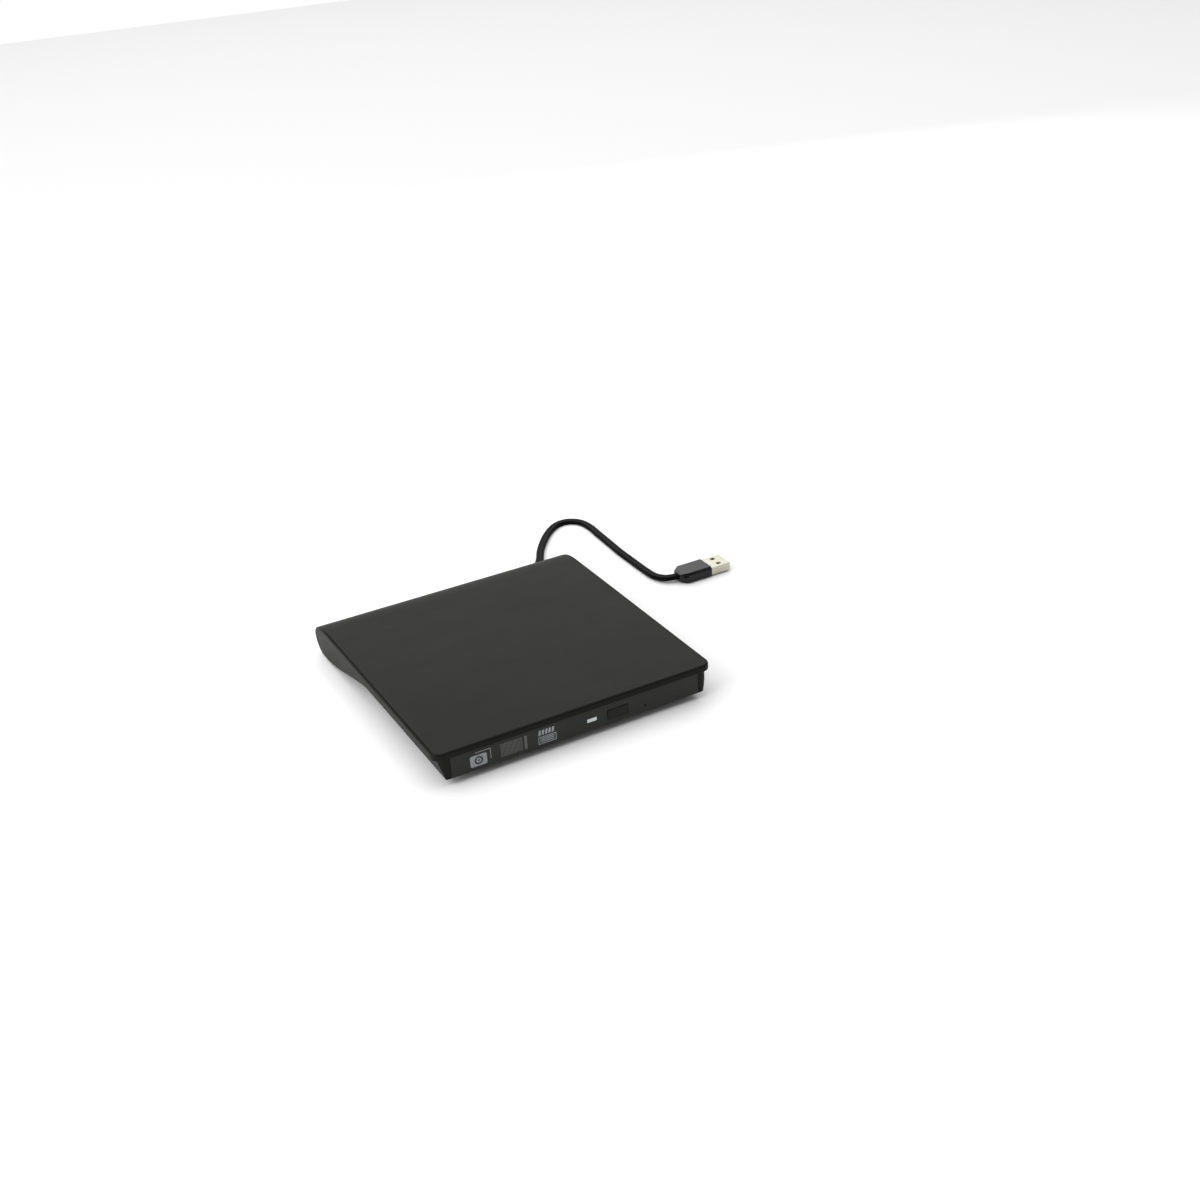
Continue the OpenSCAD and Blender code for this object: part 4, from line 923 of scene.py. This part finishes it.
def coil_tree():
    """Wire wound round the teeth of a stator: rings along a tooth, and the teeth round the hub."""
    sizes = [("Wire", "NodeSocketFloat"), ("Width", "NodeSocketFloat"), ("Tall", "NodeSocketFloat"),
             ("Inner", "NodeSocketFloat"), ("Outer", "NodeSocketFloat"), ("Height", "NodeSocketFloat"),
             ("Turns", "NodeSocketInt"), ("Teeth", "NodeSocketInt")]
    tree, start, out = node_tree("windings", sizes + [("Material", "NodeSocketMaterial")])
    loop = geo(tree, "GeometryNodeCurvePrimitiveQuadrilateral", {"mode": "RECTANGLE"},
               Width=start.outputs["Tall"],
               Height=start.outputs["Width"])
    soft = geo(tree, "GeometryNodeFilletCurve", {"mode": "POLY"}, Curve=loop.outputs[0], Count=3,
               Radius=mm(0.3))
    ring = geo(tree, "GeometryNodeCurvePrimitiveCircle", {"mode": "RADIUS"}, Resolution=6,
               Radius=start.outputs["Wire"])
    wound = geo(tree, "GeometryNodeCurveToMesh", Curve=soft.outputs[0], Profile_Curve=ring.outputs[0])
    upright = geo(tree, "GeometryNodeTransform", Geometry=wound.outputs[0], Rotation=(0, math.pi / 2, 0))
    first = geo(tree, "ShaderNodeCombineXYZ", X=start.outputs["Inner"])
    last = geo(tree, "ShaderNodeCombineXYZ", X=start.outputs["Outer"])
    line = geo(tree, "GeometryNodeMeshLine", {"mode": "END_POINTS"}, Count=start.outputs["Turns"],
               Start_Location=first.outputs[0])
    tree.links.new(last.outputs[0], line.inputs["Offset"])
    tooth = geo(tree, "GeometryNodeInstanceOnPoints", Points=line.outputs[0], Instance=upright.outputs[0])
    seats = geo(tree, "GeometryNodeMeshLine", {"mode": "OFFSET"}, Count=start.outputs["Teeth"],
                Offset=(0, 0, 0))
    step = geo_math(tree, "DIVIDE", 2 * math.pi, start.outputs["Teeth"])
    angle = geo_math(tree, "MULTIPLY", geo(tree, "GeometryNodeInputIndex").outputs[0], step)
    angle = geo_math(tree, "SUBTRACT", angle, math.pi / 4)
    spin = geo(tree, "ShaderNodeCombineXYZ", Z=angle)
    round_hub = geo(tree, "GeometryNodeInstanceOnPoints", Points=seats.outputs[0], Instance=tooth.outputs[0],
                    Rotation=spin.outputs[0])
    rise = geo(tree, "ShaderNodeCombineXYZ", Y=mm(HUB_Y), Z=start.outputs["Height"])
    put = geo(tree, "GeometryNodeTransform", Geometry=geo(tree, "GeometryNodeRealizeInstances",
              Geometry=round_hub.outputs[0]).outputs[0], Translation=rise.outputs[0])
    geo_finish(tree, out, put.outputs[0], start)
    return tree


def on_hub(u, v, z):
    """A place of the disc mechanism, which lies at 45 degrees round the hub."""
    c = math.sqrt(0.5)
    return ((u + v) * c, (v - u) * c + HUB_Y, z)


SCREWS = screw_tree()
for name, node, places, head_r, head_h, shank_r, shank_l, turn in (
        ("drive_fixings", "drive_screws", [(x, y, 4.7) for x in (-57, 57) for y in (-43, 32.8)], 1.8, 0.6,
         0.9, 2.0, math.pi),
        ("board_fixings", "board_screws", [(x, 62.6, 12.2) for x in (-8, 45)], 1.5, 0.9, 0.8, 2.4, 0.0),
        ("deck_fixings", "damper_screws",
         [on_hub(u, v, 7.7) for u, v in ((-15.6, -15.6), (-15.6, 15.6), (40, -20.5))],
         1.9, 0.3, 0.75, 2.8, math.pi)):
    grown(name, SCREWS, places,
          {"Head Radius": mm(head_r), "Head Height": mm(head_h), "Shank Radius": mm(shank_r),
                                 "Shank Length": mm(shank_l), "Turn": turn}, "screw_steel", node)
grown("feed_screw", thread_tree(), [(0, 0, 0)],
      {"Radius": mm(0.92), "Ridge": mm(0.08), "Length": mm(44.5), "Pitch": mm(3), "Height": mm(9.9),
       "Side": mm(15.4), "Start": mm(18.5)}, "rod_steel", "lead_screw")
grown("windings", coil_tree(), [(0, 0, 0)],
      {"Wire": mm(0.12), "Width": mm(1.7), "Tall": mm(0.82), "Inner": mm(3.2), "Outer": mm(11.3),
       "Height": mm(10.15), "Turns": 32, "Teeth": 9}, "copper", "stator_coils")


# ---------- printed marks on the bezel ----------

MARK_PROUD = 0.03
MARK_SUNK = 0.02


def bar(x0, x1, z0, z1, slant=0.0, radius=0.0):
    """A flat printed shape on the bezel's face."""
    face = box_mm("front_bezel")[0].y
    outline = rounded_box(x0, x1, z0, z1, radius) if radius else [(x0, z0), (x1, z0), (x1 + slant, z1),
                                                                  (x0 + slant, z1)]
    return prism("mark", outline, "y", face - MARK_PROUD, face + MARK_SUNK)


def frame_of(x0, x1, z0, z1, thick):
    """A thin outlined rectangle."""
    return [bar(x0, x1, z0, z0 + thick), bar(x0, x1, z1 - thick, z1),
            bar(x0, x0 + thick, z0 + thick, z1 - thick), bar(x1 - thick, x1, z0 + thick, z1 - thick)]


def disc_mark():
    """A filled panel with a ring cut out of it, and a thin frame behind."""
    panel = bar(-55.3, -47, 5.8, 11.6, radius=0.8)
    face = box_mm("front_bezel")[0].y
    for radius, operation in ((2.1, "DIFFERENCE"), (1.3, "UNION"), (0.5, "DIFFERENCE")):
        low, high = (face - 1, face + 1) if operation == "DIFFERENCE" else (face - MARK_PROUD, face + MARK_SUNK)
        combine(panel, prism("disc", arc(-51.1, 8.7, radius, radius, 0, 350, 35), "y", low, high), operation)
    return [panel, bar(-52.6, -44.9, 12.8, 13.1), bar(-45.2, -44.9, 7.6, 12.8)]


def stripes_mark():
    """Fine upright stripes beside a broad bar."""
    stripes = [bar(-40 + 0.62 * i, -39.72 + 0.62 * i, 6, 13) for i in range(18)]
    return stripes + [bar(-28.1, -26.7, 6, 13)]


def tiers_mark():
    """Slanted bars over a box of stripes."""
    upper = [bar(-21 + 1.7 * i, -19.9 + 1.7 * i, 10.4, 13, slant=0.5) for i in range(5)]
    lower = frame_of(-21.1, -11.8, 5.7, 9.6, 0.35)
    return upper + lower + [bar(-20, -12.9, z, z + 0.45) for z in (6.6, 7.5, 8.4)]


for name, pieces, ink in (("mark_disc", disc_mark(), PRINT), ("mark_stripes", stripes_mark(), PRINT_DIM),
                          ("mark_tiers", tiers_mark(), PRINT)):
    mark = join(name, pieces)
    mark.data.materials.clear()
    mark.data.materials.append(ink)
    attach(mark, "tray_unit")


# ---------- the lead on the frame ----------

paint(LEAD, "lead_rubber")
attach(LEAD, "case")
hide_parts("usb_lead")


# ---------- floor and light ----------


FLOOR_SIZE = 5.0
FLOOR_DROP = 0.02


def stage_floor():
    reach = FLOOR_SIZE * 500
    corners = [(x * reach, y * reach, -FLOOR_DROP) for x, y in ((-1, -1), (1, -1), (1, 1), (-1, 1))]
    floor = new_object("floor", corners, [(0, 1, 2, 3)])
    material, tree, shader = new_material("pale_floor", Roughness=0.9, Specular_IOR_Level=0.1)
    shader.inputs["Base Color"].default_value = (0.93, 0.93, 0.93, 1)
    floor.data.materials.append(material)


def area_light(name, place, target, size, power, colour=(1, 1, 1)):
    data = bpy.data.lights.new(name, "AREA")
    data.shape, data.size, data.size_y = "RECTANGLE", *size
    data.energy, data.color = power, colour
    light = bpy.data.objects.new(name, data)
    bpy.context.scene.collection.objects.link(light)
    light.location = place
    light.rotation_euler = (Vector(target) - Vector(place)).to_track_quat("-Z", "Y").to_euler()
    light.visible_camera = False
    return light


WORLD_STRENGTH = 0.28
stage_floor()
world = bpy.data.worlds.new("studio")
world.use_nodes = True
seen = world.node_tree.nodes.new("ShaderNodeLightPath").outputs["Is Camera Ray"]
brightness = math_node(world.node_tree, "MULTIPLY_ADD", seen, 1.0 - WORLD_STRENGTH, WORLD_STRENGTH)
world.node_tree.links.new(brightness, world.node_tree.nodes["Background"].inputs["Strength"])
world.node_tree.nodes["Background"].inputs["Color"].default_value = (1, 1, 1, 1)
bpy.context.scene.world = world
area_light("overhead", (0, 0.9, 3.0), (0, 0.4, 0), (6, 6), 150)
area_light("rear_low", (0.2, 0.85, 0.4), (0, 0, 0.02), (1.8, 0.5), 3.2)
area_light("left", (-1.1, -0.1, 0.6), (0, 0, 0), (0.9, 0.9), 9)
bpy.context.scene.view_settings.view_transform = "Standard"
